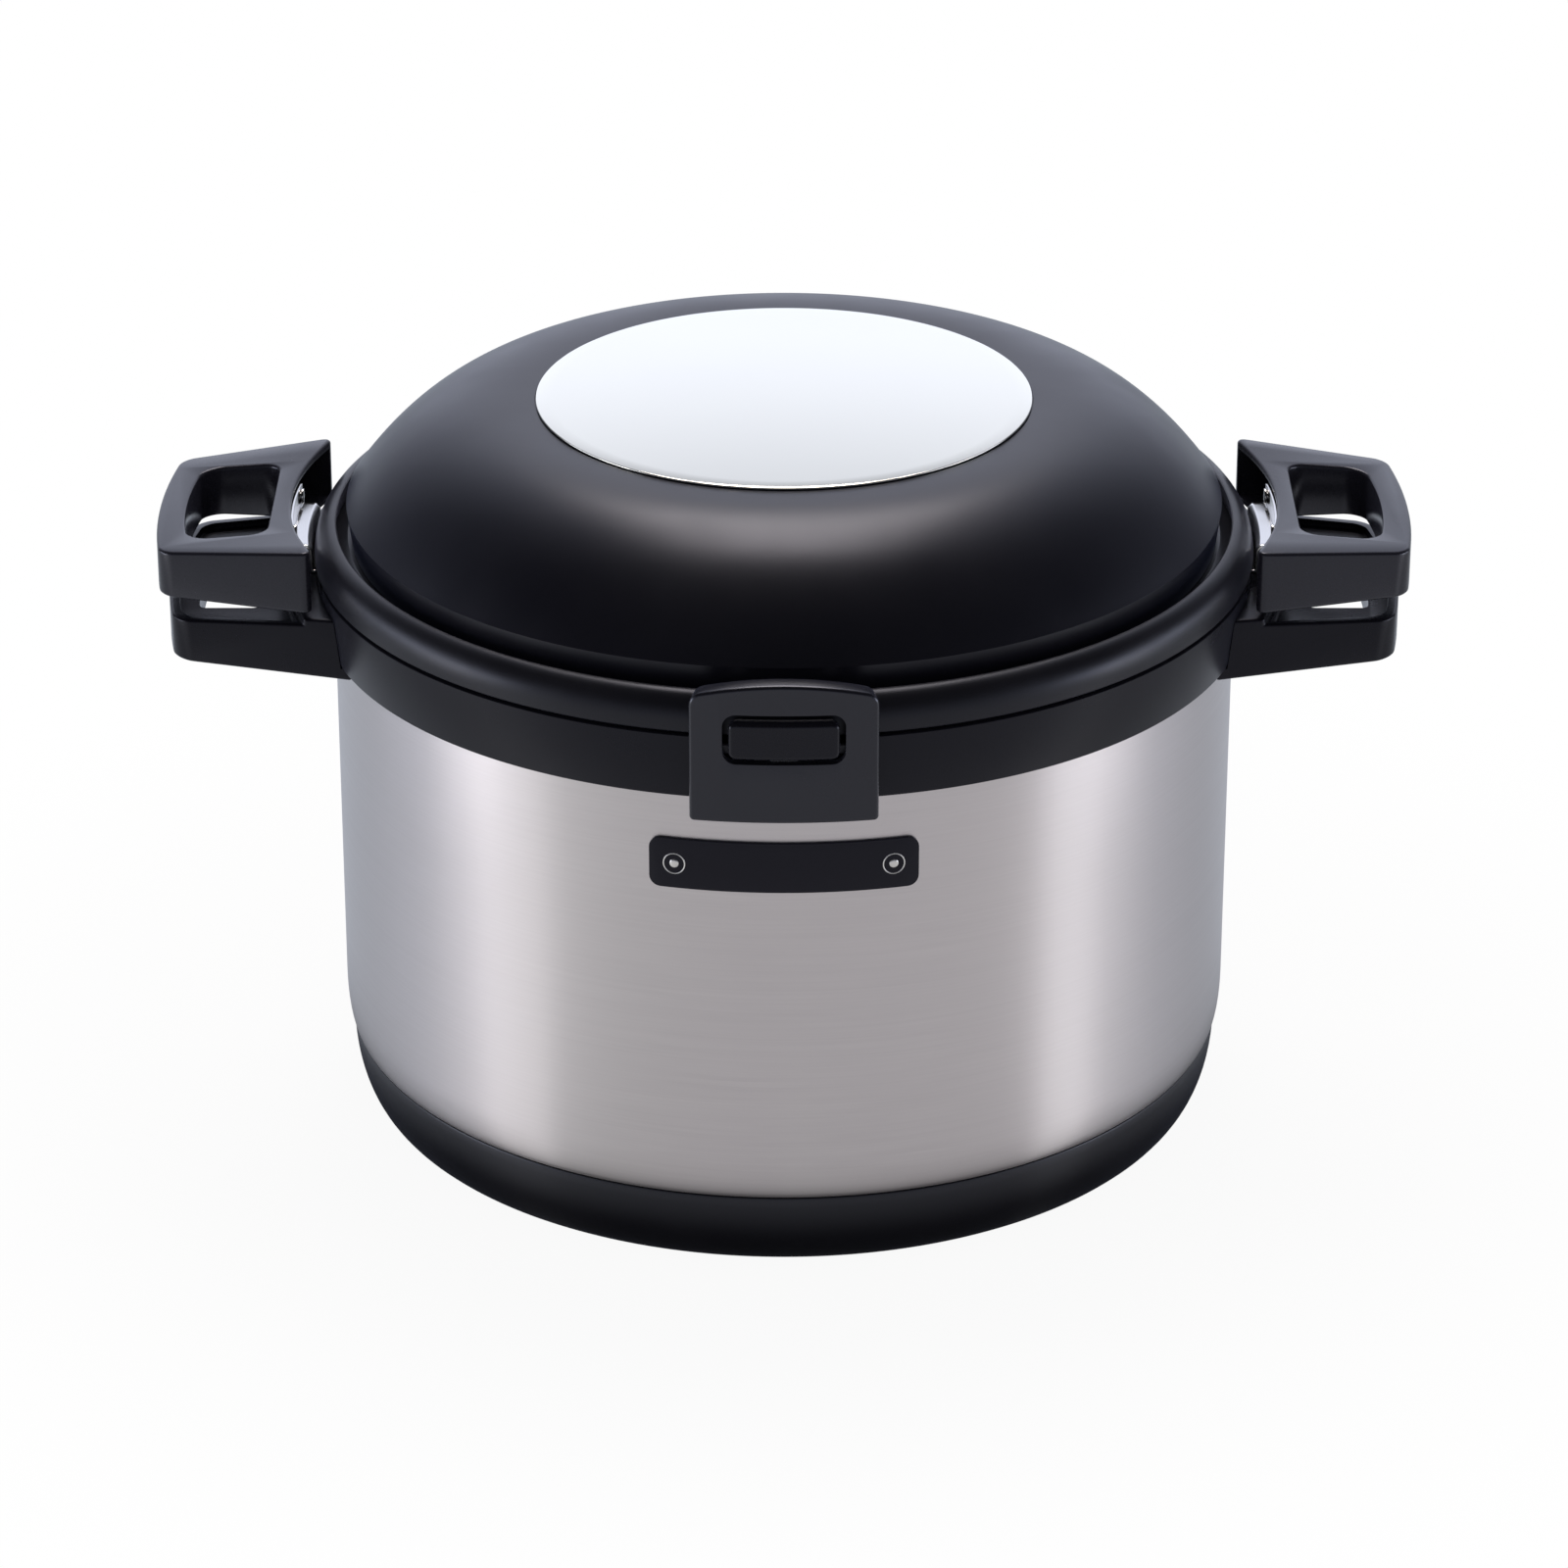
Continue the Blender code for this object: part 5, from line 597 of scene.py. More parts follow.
tilt(tray, SLOPE_X, TRAY_Z, 0.0, -CARRY_RISE)
combine(tray, round_post("tray_end", TRAY_START_RADIUS))
ease_edges(tray, 0.0007, 3, 50.0)
combine(carry, tray)
combine(carry, loop_blank("carry_window", CARRY_WINDOW_X, CARRY_WINDOW_HALVES, (0.1500, 0.1800),
                          tip_round=0.0020, bow=0.0012, root_round=0.0042))
combine(carry, collar_fit("collar_wrap", 0.1850))
combine(carry, block("lug_pocket", (0.1300, LUG_OUT + FIT), both(LUG_HALF + FIT), (0.1500, LUG_TOP + FIT)))
dress(carry, moulded("handle_plastic", (0.0042, 0.0038, 0.0066), 0.27, gloss=0.22), 35.0)
carry_twin = other_side(carry, "carry_handle_l")
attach(carry, "vessel")
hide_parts("carry_handle_right")
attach(carry_twin, "vessel")
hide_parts("carry_handle_left")

# Badge plate and its studs
# A thin dark plate curved to the shell below the latch, left bare. A bright stud near each end sits in a fine
# pale ring.
BADGE_HALF = 0.0400
BADGE_Z = (0.1302, 0.1462)
BADGE_THICK = 0.0008
BADGE_FACE = SHELL_RADIUS + FIT + BADGE_THICK
BADGE_CORNER = 0.0034
STUD_PLACE = (0.0, -BADGE_FACE, sum(BADGE_Z) / 2.0)
STUD_ANGLE = 13.2
STUD_RADIUS, STUD_FLATNESS = 0.0014, 0.30
STUD_RING_RADIUS, STUD_RING_WIRE = 0.0032, 0.00022


def wrap_to(piece, radius):
    """Bend a piece that faces -Y round the vessel, so that a depth of zero lies on the radius."""
    for vertex in piece.data.vertices:
        reach = radius - vertex.co.y
        angle = vertex.co.x / radius
        vertex.co.x = reach * math.sin(angle)
        vertex.co.y = -reach * math.cos(angle)


def rounded_tile(name, half_width, y, z, corner, cuts, segments=6, top_corner=0.0):
    """A tile with rounded corners seen from the front, cut into strips so that it can be bent."""
    tile = block(name, both(half_width), y, z)
    for rounding, at_top in ((corner, False), (max(corner, top_corner), True)):
        choose(tile, lambda a, b: abs(a.y - b.y) > (y[1] - y[0]) / 2.0
               and (a.z > (z[0] + z[1]) / 2.0) == at_top, "EDGE")
        bpy.ops.mesh.bevel(offset=rounding, offset_type="OFFSET", segments=segments, affect="EDGES")
    for step in range(1, cuts):
        across = (half_width - max(corner, top_corner)) * (2.0 * step / cuts - 1.0)
        bpy.ops.mesh.select_all(action="SELECT")
        bpy.ops.mesh.bisect(plane_co=(across, 0.0, 0.0), plane_no=(1.0, 0.0, 0.0))
    bpy.ops.object.mode_set(mode="OBJECT")
    return tile


def bare_metal(name, colour, marks, detail, low, high):
    """Bare metal, whose gloss drifts from low to high roughness along its working marks."""
    material, shader = principled(name, {"Base Color": (*colour, 1.0), "Metallic": 1.0})
    vary_gloss(shader, grain(shader, marks, detail), low, high)
    return material


badge = rounded_tile("bare_badge", BADGE_HALF, (-BADGE_THICK, 0.0), BADGE_Z, BADGE_CORNER, 24)
ease_edges(badge, 0.0002, 2)
wrap_to(badge, SHELL_RADIUS + FIT)
dress(badge, moulded("badge_enamel", (0.0072, 0.0064, 0.0110), 0.22, 5200.0, 0.000004, gloss=0.22))
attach(badge, "vessel")
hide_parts("badge_plate")
pale_metal = bare_metal("pale_metal", (0.78, 0.77, 0.76), (900.0, 900.0, 900.0), 2.0, 0.24, 0.40)
for number, side_angle in ((1, -STUD_ANGLE), (2, STUD_ANGLE)):
    bpy.ops.mesh.primitive_uv_sphere_add(segments=32, ring_count=16, radius=STUD_RADIUS, location=STUD_PLACE)
    stud = bpy.context.object
    stud.name = "badge_stud_top_%d" % number
    stud.scale = (1.0, STUD_FLATNESS, 1.0)
    bpy.ops.mesh.primitive_torus_add(major_segments=48, minor_segments=8, major_radius=STUD_RING_RADIUS,
                                     minor_radius=STUD_RING_WIRE, location=STUD_PLACE,
                                     rotation=(math.pi / 2.0, 0.0, 0.0))
    stud.select_set(True)
    bpy.context.view_layer.objects.active = stud
    bpy.ops.object.join()
    bpy.ops.object.transform_apply(location=True, rotation=True, scale=True)
    stud.rotation_euler = (0.0, 0.0, math.radians(side_angle))
    dress(stud, pale_metal)
    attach(stud, "vessel")
    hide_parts("badge_stud_%d" % number)

# Latch housing
# A moulded block that stands on the collar in front of the lid's rim. Its face follows the vessel, its top edge
# is arched, and the release button works in a rounded window.
LATCH_HALF = 0.0278
LATCH_FACE = 0.1520
LATCH_DEPTH = 0.0140
LATCH_Z = (0.1577, 0.1975)
LATCH_CORNER, LATCH_TOP_CORNER = 0.0014, 0.0034
ARCH_FOOT = 0.1780
ARCH_RISE = 0.0038
ARCH_HALF = 0.0276
LATCH_BODY_HALF = 0.0212
LATCH_BODY_Y = (-0.1485, -0.1409)
LATCH_BODY_FOOT = 0.1633
CAVITY_Y = (-0.1482, -0.1369)
CAVITY_DECK, CAVITY_TOP = 0.1759, 0.1921
HOOK_CAVITY_HALF = 0.0087
HOOK_CAVITY_Z = (0.1646, 0.1799)
WINDOW_HALF, WINDOW_CORNER = 0.0179, 0.0040
WINDOW_Z = (0.1765, CAVITY_TOP)
housing = rounded_tile("latch_block", LATCH_HALF, (0.0, LATCH_DEPTH), LATCH_Z, LATCH_CORNER, 28,
                       top_corner=LATCH_TOP_CORNER)
for vertex in housing.data.vertices:
    share = max(0.0, (vertex.co.z - ARCH_FOOT) / (LATCH_Z[1] - ARCH_FOOT))
    vertex.co.z += share * ARCH_RISE * (1.0 - (vertex.co.x / ARCH_HALF) ** 2)
wrap_to(housing, LATCH_FACE)
ease_edges(housing, 0.0019, 6, 40.0)
combine(housing, collar_fit("latch_back_fit", 0.2100, [(0.1462, 0.1820)]))
combine(housing, block("latch_inner_block", both(LATCH_BODY_HALF), LATCH_BODY_Y, (LATCH_BODY_FOOT, CAVITY_DECK)),
        "UNION")
combine(housing, block("hook_cavity", both(HOOK_CAVITY_HALF), CAVITY_Y, HOOK_CAVITY_Z))
combine(housing, block("button_cavity", both(LATCH_BODY_HALF), CAVITY_Y, (CAVITY_DECK, CAVITY_TOP)))
combine(housing, rounded_tile("button_window", WINDOW_HALF, (-0.1600, -0.1400), WINDOW_Z, WINDOW_CORNER, 1, 8))
ease_edges(housing, 0.0005, 2, 50.0)
black_plastic = moulded("satin_black_plastic", (0.0060, 0.0056, 0.0090), 0.26, gloss=0.60)
dress(housing, black_plastic, 35.0)
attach(housing, "vessel")
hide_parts("latch_housing")

# Release button
# A moulded key in the housing's window, 1.3 mm proud of it, with soft edges. Behind it two tabs rest on the
# housing's wall and a stem reaches the hook.
KEY_FACE = LATCH_FACE + 0.0013
KEY_HALF, KEY_DEPTH = 0.0163, 0.0047
KEY_Z = (0.1783, 0.1900)
KEY_CORNER = 0.0024
KEY_BODY_TOP = 0.1810
button = rounded_tile("release_key", KEY_HALF, (0.0, KEY_DEPTH), KEY_Z, KEY_CORNER, 16, 8)
wrap_to(button, KEY_FACE)
ease_edges(button, 0.0015, 5, 40.0)
for name, half, y, z in (("key_body", 0.0152, (-0.1489, -0.1468), (0.1796, KEY_BODY_TOP)),
                         ("key_tabs", 0.0196, (-0.1479, -0.1465), (0.1785, KEY_BODY_TOP)),
                         ("key_stem", 0.0040, (-0.1470, -0.1417), (0.1788, 0.1807))):
    combine(button, block(name, both(half), y, z), "UNION")
dress(button, moulded("key_plastic", (0.0052, 0.0048, 0.0076), 0.24, gloss=0.28), 35.0)
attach(button, "release_button")
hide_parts("release_button")

# Latch works and hidden steel
# The pressed steel hook turns on its pin inside the housing, with a coil spring beside it. These, the striker,
# the pins and the screws are bright steel in the frame's own shapes, except for the pot handles' screws.
bright_steel = bare_metal("bright_steel", (0.74, 0.735, 0.73), (1600.0, 1600.0, 1600.0), 2.0, 0.16, 0.30)
for name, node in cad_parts.items():
    if "screw" in name or name in ("latch_hook", "hook_pin", "hook_spring", "hinge_pin", "lid_striker",
                                   "vacuum_seal_cap"):
        for material_slot in node.material_slots:
            material_slot.material = bright_steel

# Hinge base
# A black moulded block screwed to the back of the collar. Its two knuckles carry the steel hinge pin.
HINGE_Y, HINGE_Z = 0.1490, 0.1760
KNUCKLE_RADIUS, KNUCKLE_END = 0.0043, 0.0270
PIN_BORE, BORE_REACH = 0.0020, 0.0300
SCREW_HEAD, SCREW_HOLE = 0.0034, 0.0018
BASE_HALF, BASE_DEPTH, BASE_CORNER = 0.0272, 0.0120, 0.0025
BASE_FACE = 0.1500
BASE_Z = (0.1586, 0.1790)
BASE_SCREWS, BASE_SCREW_HEIGHT = 0.0200, 0.1655


def cross_rod(name, radius, x, y, z):
    """A round bar along X."""
    bpy.ops.mesh.primitive_cylinder_add(vertices=64, radius=radius, depth=abs(x[1] - x[0]),
                                        location=(sum(x) / 2.0, y, z), rotation=(0.0, math.pi / 2.0, 0.0))
    rod = bpy.context.object
    rod.name = name
    bpy.ops.object.transform_apply(location=True, rotation=True, scale=True)
    return rod


def screw_recess(piece, x, y, z):
    """A hole from behind for a screw, and a recess round y for its head."""
    for facets, radius, depth, middle in ((48, SCREW_HEAD, 0.0060, y), (32, SCREW_HOLE, 0.0300, 0.1450)):
        bpy.ops.mesh.primitive_cylinder_add(vertices=facets, radius=radius, depth=depth, location=(x, middle, z),
                                            rotation=(math.pi / 2.0, 0.0, 0.0))
        combine(piece, bpy.context.object)


hinge_base = rounded_tile("hinge_block", BASE_HALF, (0.0, BASE_DEPTH), BASE_Z, BASE_CORNER, 20)
wrap_to(hinge_base, BASE_FACE)
half_turn(hinge_base)
ease_edges(hinge_base, 0.0008, 3, 40.0)
for knuckle_x in ((HINGE_POCKET_HALF, KNUCKLE_END), (-KNUCKLE_END, -HINGE_POCKET_HALF)):
    knuckle = cross_rod("knuckle", KNUCKLE_RADIUS, knuckle_x, HINGE_Y, HINGE_Z)
    ease_edges(knuckle, 0.0005)
    combine(hinge_base, knuckle, "UNION")
combine(hinge_base, collar_fit("hinge_fit", 0.2000))
combine(hinge_base, block("hinge_saddle", both(HINGE_POCKET_HALF), (0.1350, 0.1600), (HINGE_POCKET_FLOOR, 0.1900)))
combine(hinge_base, cross_rod("pin_bore", PIN_BORE, both(BORE_REACH), HINGE_Y, HINGE_Z))
for side_x in both(BASE_SCREWS):
    screw_recess(hinge_base, side_x, BASE_FACE + 0.0002, BASE_SCREW_HEIGHT)
dress(hinge_base, black_plastic, 35.0)
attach(hinge_base, "vessel")
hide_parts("hinge_base")

# Lid ring
# The lid's moulded rim: thick and round outside, with a flange inside that carries the dome. The hook passes
# up through a notch under its front.
RING_CENTRE = (0.1391, 0.1841)
RING_ROUND = (0.0065, 0.0100)
RING_TOP = RING_CENTRE[1] + RING_ROUND[1]
RING_FOOT = 0.1827
FLANGE_FOOT, FLANGE_TOP = 0.1872, 0.1890
FLANGE_BORE = 0.1180
HOOK_NOTCH_HALF = 0.0092
HOOK_NOTCH_Y = (-0.1500, -0.1342)
STRIKER_HALF = 0.0143
STRIKER_Y = (-0.1452, -0.1392)
UNDER_RING = 0.1800
lid_ring = ring_by_ring(
    "lid_rim",
    arc(RING_CENTRE, RING_ROUND, 90, 0, 15)
    + [(0.1456, 0.1831), (0.1452, RING_FOOT), (0.1360, RING_FOOT), (0.1360, FLANGE_FOOT), (FLANGE_BORE, FLANGE_FOOT),
       (FLANGE_BORE, FLANGE_TOP), (0.1352, FLANGE_TOP), (0.1398, FLANGE_FOOT), (0.1387, 0.1932), (0.1387, 0.1939),
       (RING_CENTRE[0], RING_TOP)], facets=240)
combine(lid_ring, block("hook_notch", both(HOOK_NOTCH_HALF), HOOK_NOTCH_Y, (UNDER_RING, 0.1870)))
combine(lid_ring, block("striker_seat", both(STRIKER_HALF), STRIKER_Y, (UNDER_RING, 0.1845)))
dress(lid_ring, moulded("rim_plastic", (0.0058, 0.0055, 0.0080), 0.34, gloss=0.36), 20.0)
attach(lid_ring, "outer_lid")
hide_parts("lid_trim_ring")

# Lid dome
# A pressed dome painted satin blue-black. It drops steeply into the rim's groove, and a round seat in its top
# takes the mirror disc.
DISC_SEAT = 0.0767
DOME_TOP = 0.2311
DOME_REACH, DOME_FALL = 0.0587, 0.0313
DOME_BULGE = 2.60
DOME_SHEET = 0.0012
slope = [(DISC_SEAT + DOME_REACH * step / 40.0, DOME_TOP - DOME_FALL * (step / 40.0) ** DOME_BULGE)
         for step in range(40, -1, -1)]
dome = ring_by_ring("painted_dome", [(0.1340, 0.1893), (0.1351, 0.1975)] + slope + [
    (DISC_SEAT, 0.2305), (0.0380, 0.2326), (0.0, 0.2333)], facets=240)
sheet_wall(dome, DOME_SHEET)
dome_paint, shader = principled("dome_paint", {
    "IOR": 1.50, "Specular Tint": (0.86, 0.88, 1.0, 1.0), "Sheen Weight": 0.06, "Sheen Roughness": 0.35,
    "Sheen Tint": (0.30, 0.42, 1.0, 1.0)})
raise_grain(shader, grain(shader, (420.0, 420.0, 420.0), 2.0), 0.00002, 0.35)
vary_gloss(shader, grain(shader, (30.0, 30.0, 30.0), 2.0), 0.315, 0.365)
tint(shader, grain(shader, (3000.0, 3000.0, 3000.0), 1.0), (0.0038, 0.0036, 0.0068), (0.0056, 0.0054, 0.0096))
dress(dome, dome_paint)
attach(dome, "outer_lid")
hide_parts("lid_dome")

# Mirror disc
# A round plate of mirror-polished steel, very slightly crowned, set in the dome's top with a hairline gap.
DISC_RADIUS = DISC_SEAT - FIT
DISC_EDGE = 0.2320
DISC_CROWN = 0.0028
DISC_SHEET = 0.0012


def crowned(radius, height, rise, steps, power):
    """(radius, height) points from an edge in to the axis, on a curve that is flat at its middle."""
    return [(radius * step / steps, height + rise * (1.0 - (step / steps) ** power))
            for step in range(steps, -1, -1)]


disc = ring_by_ring("mirror_disc", crowned(DISC_RADIUS, DISC_EDGE, DISC_CROWN, 16, 2), facets=200)
sheet_wall(disc, DISC_SHEET)
ease_edges(disc, 0.0003, 3, 50.0)
mirror_steel, shader = principled("mirror_steel", {"Metallic": 1.0})
haze = grain(shader, (9.0, 9.0, 9.0))
vary_gloss(shader, haze, 0.035, 0.070)
tint(shader, haze, (0.888, 0.872, 0.786), (0.906, 0.890, 0.796))
dress(disc, mirror_steel)
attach(disc, "outer_lid")
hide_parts("lid_mirror_disc")

# Lid liner
# The plate that closes the lid's underside, pressed from plain steel sheet with a raised middle, and screwed up
# under the rim.
PLATE_EDGE, PLATE_BEND = 0.1352, 0.1170
PLATE_HEIGHT = FLANGE_FOOT - FIT
PLATE_RISE = 0.0210
PLATE_SHEET = 0.0006
lid_liner = ring_by_ring("lid_underplate", [(PLATE_EDGE, PLATE_HEIGHT)]
                         + crowned(PLATE_BEND, PLATE_HEIGHT, PLATE_RISE, 24, 3))
sheet_wall(lid_liner, PLATE_SHEET)
combine(lid_liner, block("liner_notch", both(HOOK_NOTCH_HALF), HOOK_NOTCH_Y, (UNDER_RING, 0.1880)))
dress(lid_liner, plain_steel)
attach(lid_liner, "outer_lid")
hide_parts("lid_liner")

# Lid seal
# A grey silicone ring under the liner's edge that closes on the collar's top.
SEAL_OUTER, SEAL_INNER = 0.1310, 0.1260
SEAL_TOP, SEAL_LIP = 0.1857, COLLAR_TOP + FIT
seal = ring_by_ring("silicone_seal", [(SEAL_OUTER, SEAL_TOP), (SEAL_OUTER, 0.1842), (0.1306, 0.1838),
                                      (0.1288, SEAL_LIP), (0.1271, SEAL_LIP), (SEAL_INNER, SEAL_TOP),
                                      (SEAL_OUTER, SEAL_TOP)])
ease_edges(seal, 0.0004)
seal_silicone, shader = principled("seal_silicone", {
    "Base Color": (0.30, 0.30, 0.31, 1.0), "Subsurface Weight": 0.15, "Subsurface Radius": (0.002, 0.002, 0.002),
    "Subsurface Scale": 0.5})
vary_gloss(shader, grain(shader, (300.0, 300.0, 300.0)), 0.48, 0.64)
dress(seal, seal_silicone)
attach(seal, "outer_lid")
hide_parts("lid_gasket")

# Lid foam
# The filling between the dome and the underplate, cast pale foam that nothing shows; it keeps the frame's shape.
foam, shader = principled("lid_foam", {"Roughness": 0.92})
cells = grain(shader, (1200.0, 1200.0, 1200.0))
tint(shader, cells, (0.74, 0.72, 0.66), (0.86, 0.85, 0.80))
raise_grain(shader, cells, 0.0003, 0.7)
for material_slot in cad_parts["lid_insulation"].material_slots:
    material_slot.material = foam

# Hinge arm
# The lid's half of the hinge: a black moulded arm hooked over the back of the rim and screwed to it, with a
# round knuckle at its foot.
ARM_HALF = HINGE_POCKET_HALF - FIT
ARM_FACE, ARM_DEPTH = 0.1505, 0.0130
ARM_Z = (HINGE_Z, 0.1965)
ABOVE_ARM = 0.2050
ARM_SCREWS, ARM_SCREW_HEIGHT = 0.0080, 0.1870
arm = rounded_tile("hinge_arm", ARM_HALF, (0.0, ARM_DEPTH), ARM_Z, 0.0010, 10)
wrap_to(arm, ARM_FACE)
half_turn(arm)
ease_edges(arm, 0.0008, 3, 40.0)
combine(arm, ring_by_ring(
    "arm_fit",
    [(RING_CENTRE[0], ABOVE_ARM)] + arc(RING_CENTRE, [reach + FIT for reach in RING_ROUND], 90, 0, 9)
    + [(0.1462, RING_FOOT), (0.1462, 0.1700), (0.1000, 0.1700), (0.1000, ABOVE_ARM), (RING_CENTRE[0], ABOVE_ARM)],
    facets=240))
arm_knuckle = cross_rod("arm_knuckle", KNUCKLE_RADIUS, both(ARM_HALF), HINGE_Y, HINGE_Z)
ease_edges(arm_knuckle, 0.0005)
combine(arm, arm_knuckle, "UNION")
combine(arm, cross_rod("arm_bore", PIN_BORE, both(BORE_REACH), HINGE_Y, HINGE_Z))
for side_x in both(ARM_SCREWS):
    screw_recess(arm, side_x, ARM_FACE + 0.0013, ARM_SCREW_HEIGHT)
dress(arm, black_plastic, 35.0)
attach(arm, "outer_lid")
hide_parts("lid_hinge_arm")

# Cooking pot
# A straight-sided pot spun from 1 mm stainless sheet, polished, with a rolled rim and a thick bonded base disc
# under its bottom.
POT_RADIUS = 0.1190
POT_SHEET = 0.0010
POT_CORNER = 0.0120
POT_FLOOR = 0.0434
RIM_TOP = 0.1822
RIM_RADIUS = 0.1210
RIM_CORNER = 0.0004
BASE_TOP, BASE_FOOT = POT_FLOOR - FIT, 0.0376
BASE_RADIUS = 0.1040
START_RADIUS = 0.0020


def fill_start(piece, above):
    """Close the small hole round the axis that a skin starts from."""
    choose(piece, lambda co: co.z > above and math.hypot(co.x, co.y) < 0.0040)
    bpy.ops.mesh.edge_face_add()
    bpy.ops.object.mode_set(mode="OBJECT")


corner_centre = (POT_RADIUS - POT_CORNER, POT_FLOOR + POT_CORNER)
inside_corner = POT_CORNER - POT_SHEET
pot = ring_by_ring(
    "cooking_pot",
    [(START_RADIUS, POT_FLOOR + POT_SHEET)]
    + arc(corner_centre, (inside_corner, inside_corner), -90, 0, 9)
    + [(POT_RADIUS - POT_SHEET, RIM_TOP - RIM_CORNER), (POT_RADIUS - POT_SHEET + RIM_CORNER, RIM_TOP),
       (RIM_RADIUS - RIM_CORNER, RIM_TOP), (RIM_RADIUS, RIM_TOP - RIM_CORNER),
       (RIM_RADIUS, RIM_TOP - 2.0 * RIM_CORNER), (RIM_RADIUS - RIM_CORNER, RIM_TOP - 3.0 * RIM_CORNER),
       (POT_RADIUS, RIM_TOP - 3.0 * RIM_CORNER)]
    + arc(corner_centre, (POT_CORNER, POT_CORNER), 0, -90, 9) + [(0.0, POT_FLOOR)], facets=200)
fill_start(pot, POT_FLOOR + POT_SHEET / 2.0)
polished_steel = bare_metal("polished_steel", (0.72, 0.715, 0.71), (40.0, 40.0, 1200.0), 3.0, 0.10, 0.22)
dress(pot, polished_steel, 35.0)
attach(pot, "inner_pot")
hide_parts("pot_shell")
base_disc = ring_by_ring("bonded_base", [
    (START_RADIUS, BASE_TOP), (BASE_RADIUS, BASE_TOP), (BASE_RADIUS, 0.0389), (0.1036, 0.0380), (0.1027, BASE_FOOT),
    (0.0900, BASE_FOOT), (0.0898, 0.0378), (0.0880, 0.0378), (0.0878, BASE_FOOT), (0.0, BASE_FOOT)], facets=200)
fill_start(base_disc, 0.0430)
dress(base_disc, bare_metal("capsule_metal", (0.70, 0.70, 0.71), (500.0, 500.0, 500.0), 2.0, 0.28, 0.42))
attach(base_disc, "inner_pot")
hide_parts("pot_base_disc")

# Pot brackets
# Strips of polished steel welded to the pot under its rim. Each runs out level over the collar's notch and turns
# up to a flange in the root of a pot handle, which is screwed to it.
BRACKET_SHEET = 0.0015
BRACKET_HALF_ANGLE = 7.0
BEND_RADIUS, FLANGE_RADIUS = 0.1477, 0.1532
FLANGE_END = 0.1955
LEDGE_HEIGHT = NOTCH_FLOOR + FIT
STEP_HEIGHT = 0.1875
STEP_CORNER = 0.0006
WELD_RADIUS, WELD_FOOT = 0.1208, 0.1672
bracket = ring_by_ring("bracket_r", [
    (FLANGE_RADIUS, FLANGE_END), (FLANGE_RADIUS, STEP_HEIGHT), (BEND_RADIUS + STEP_CORNER, STEP_HEIGHT),
    (BEND_RADIUS, STEP_HEIGHT - STEP_CORNER), (BEND_RADIUS, LEDGE_HEIGHT), (WELD_RADIUS, LEDGE_HEIGHT),
    (WELD_RADIUS, WELD_FOOT)], facets=480)
choose(bracket, lambda co: co.x < 0.0 or abs(math.atan2(co.y, co.x)) > math.radians(BRACKET_HALF_ANGLE))
bpy.ops.mesh.delete(type="VERT")
bpy.ops.object.mode_set(mode="OBJECT")
sheet_wall(bracket, BRACKET_SHEET)
ease_edges(bracket, 0.0004, 2, 20.0)
dress(bracket, polished_steel)
bracket_twin = other_side(bracket, "bracket_l")
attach(bracket, "inner_pot")
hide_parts("pot_bracket_right")
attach(bracket_twin, "inner_pot")
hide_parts("pot_bracket_left")

# Pot handle screws
# Two steel screws with low round heads go through each bracket's flange into the handle's root.
HEAD_RADIUS, SHANK_RADIUS = 0.0024, 0.0014
HEAD_FROM, HEAD_TO = 0.1500, 0.1509
SHANK_FROM, SHANK_TO = 0.1503, 0.1578
SCREW_OUT = 0.0145
SCREW_HEIGHT = 0.1924
screw_places = ((-1.0, -SCREW_OUT), (-1.0, SCREW_OUT), (1.0, -SCREW_OUT), (1.0, SCREW_OUT))
for number, (side, side_y) in enumerate(screw_places, start=1):
    pot_screw = cross_rod("pot_handle_screw_head_%d" % number, HEAD_RADIUS, (side * HEAD_FROM, side * HEAD_TO),
                          side_y, SCREW_HEIGHT)
    ease_edges(pot_screw, 0.0003, 3, 50.0)
    combine(pot_screw, cross_rod("pot_screw_shank", SHANK_RADIUS, (side * SHANK_FROM, side * SHANK_TO),
                                 side_y, SCREW_HEIGHT), "UNION")
    dress(pot_screw, polished_steel)
    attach(pot_screw, "inner_pot")
    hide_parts("pot_handle_screw_%d" % number)

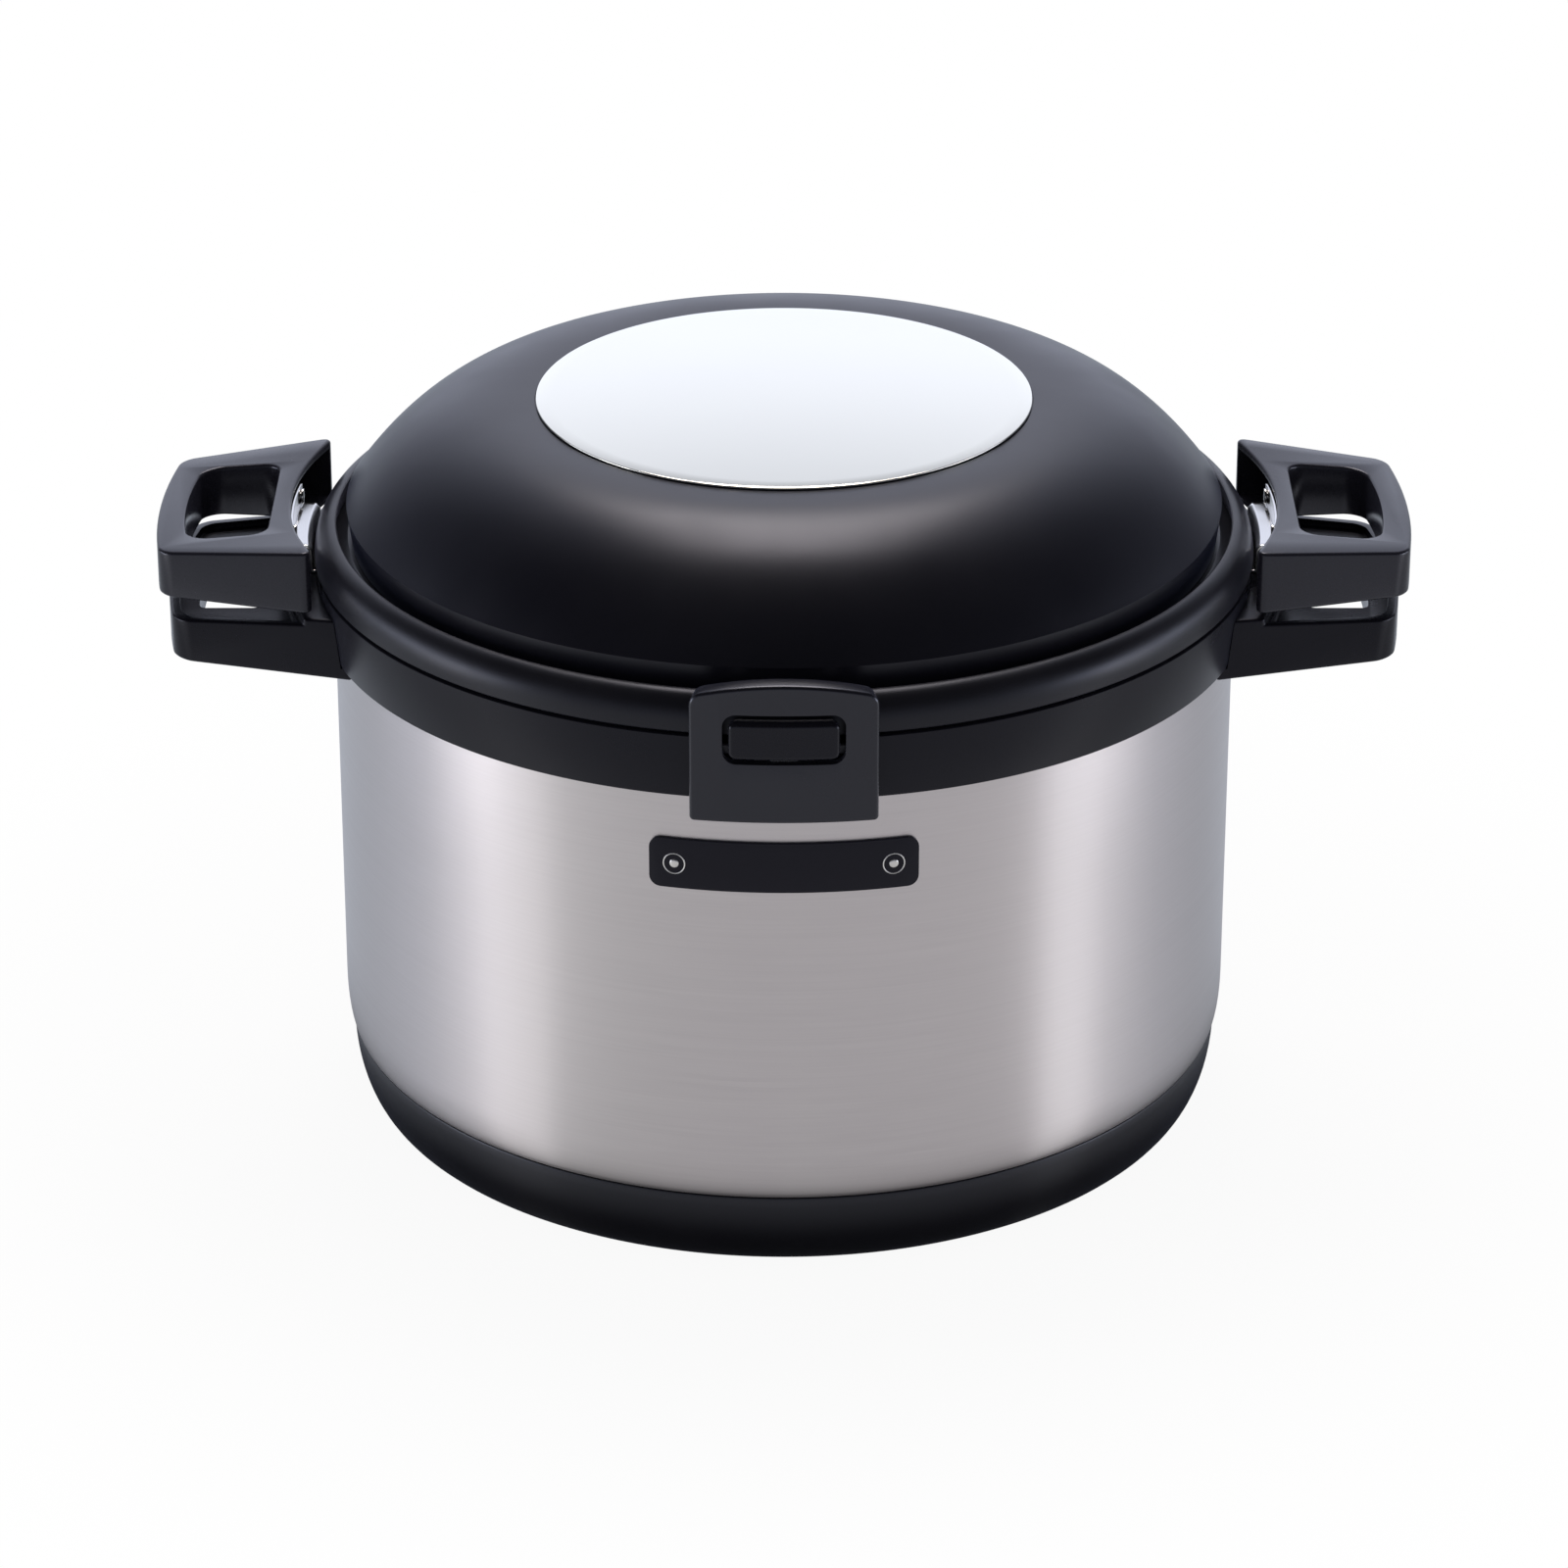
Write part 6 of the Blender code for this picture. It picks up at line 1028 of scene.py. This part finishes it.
# Pot handles
# Thick black moulded loops, hollowed at the root to follow the vessel and tapered to a bowed tip, with a wide
# window for four fingers. Their tops slope down to the tip, and a pocket in the root takes the bracket's flange.
POT_TIP = 0.1936
POT_ROOT, POT_ROOT_CURVE = 0.1526, 0.1160
POT_HALVES = (0.0482, 0.0382)
POT_Z = (0.1789, 0.1987)
TOP_FALL, FOOT_RISE = 0.0037, 0.0019
POT_WINDOW_X = (0.1583, 0.1850)
POT_WINDOW_HALVES = (0.0284, 0.0288)
POCKET_X = (0.1300, 0.1540)
POCKET_HALF = 0.0440
POCKET_Z = (0.1810, 0.1966)
pot_handle = loop_blank("pot_handle_r", (0.1400, POT_TIP), POT_HALVES, POT_Z, tip_round=0.0044, bow=0.0032,
                        root_round=0.0046, hollow=(POT_ROOT, POT_ROOT_CURVE))
combine(pot_handle, loop_blank("pot_window", POT_WINDOW_X, POT_WINDOW_HALVES, (0.1750, 0.2050),
                               tip_round=0.0066, bow=0.0028, root_round=0.0058))
tilt(pot_handle, (COLLAR_RADIUS, POT_TIP), POT_Z, TOP_FALL, FOOT_RISE)
ease_edges(pot_handle, 0.0010)
combine(pot_handle, block("root_pocket", POCKET_X, both(POCKET_HALF), POCKET_Z))
dress(pot_handle, moulded("pot_handle_plastic", (0.0112, 0.0108, 0.0160), 0.24, gloss=0.48, sheen=0.03), 35.0)
pot_handle_twin = other_side(pot_handle, "pot_handle_l")
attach(pot_handle, "inner_pot")
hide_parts("pot_handle_right")
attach(pot_handle_twin, "inner_pot")
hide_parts("pot_handle_left")

# Pot lid and its knob
# A shallow pressed lid of polished steel that rests on the pot's rim, with a black moulded knob screwed on
# from below.
POT_LID_RADIUS, POT_LID_BEND = 0.1208, 0.1110
POT_LID_EDGE = 0.1833
POT_LID_RISE = 0.0072
POT_LID_SHEET = 0.0008
KNOB_FOOT, KNOB_TOP = 0.1908, 0.2021
pot_lid = ring_by_ring("pot_lid_top", [(POT_LID_RADIUS, POT_LID_EDGE)]
                       + crowned(POT_LID_BEND, POT_LID_EDGE, POT_LID_RISE, 20, 2), facets=200)
sheet_wall(pot_lid, POT_LID_SHEET)
dress(pot_lid, polished_steel, 35.0)
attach(pot_lid, "pot_lid")
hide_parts("pot_lid_plate")
knob = ring_by_ring("pot_lid_grip", [
    (0.0030, 0.2018), (0.0120, KNOB_TOP), (0.0160, KNOB_TOP), (0.0184, 0.2014), (0.0197, 0.1999), (0.0200, 0.1986),
    (0.0194, 0.1968), (0.0180, 0.1957), (0.0120, 0.1951), (0.0096, 0.1944), (0.0090, 0.1932), (0.0092, 0.1910),
    (0.0090, KNOB_FOOT), (0.0, KNOB_FOOT)], facets=96)
fill_start(knob, 0.2015)
dress(knob, black_plastic, 35.0)
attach(knob, "pot_lid")
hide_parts("pot_lid_knob")
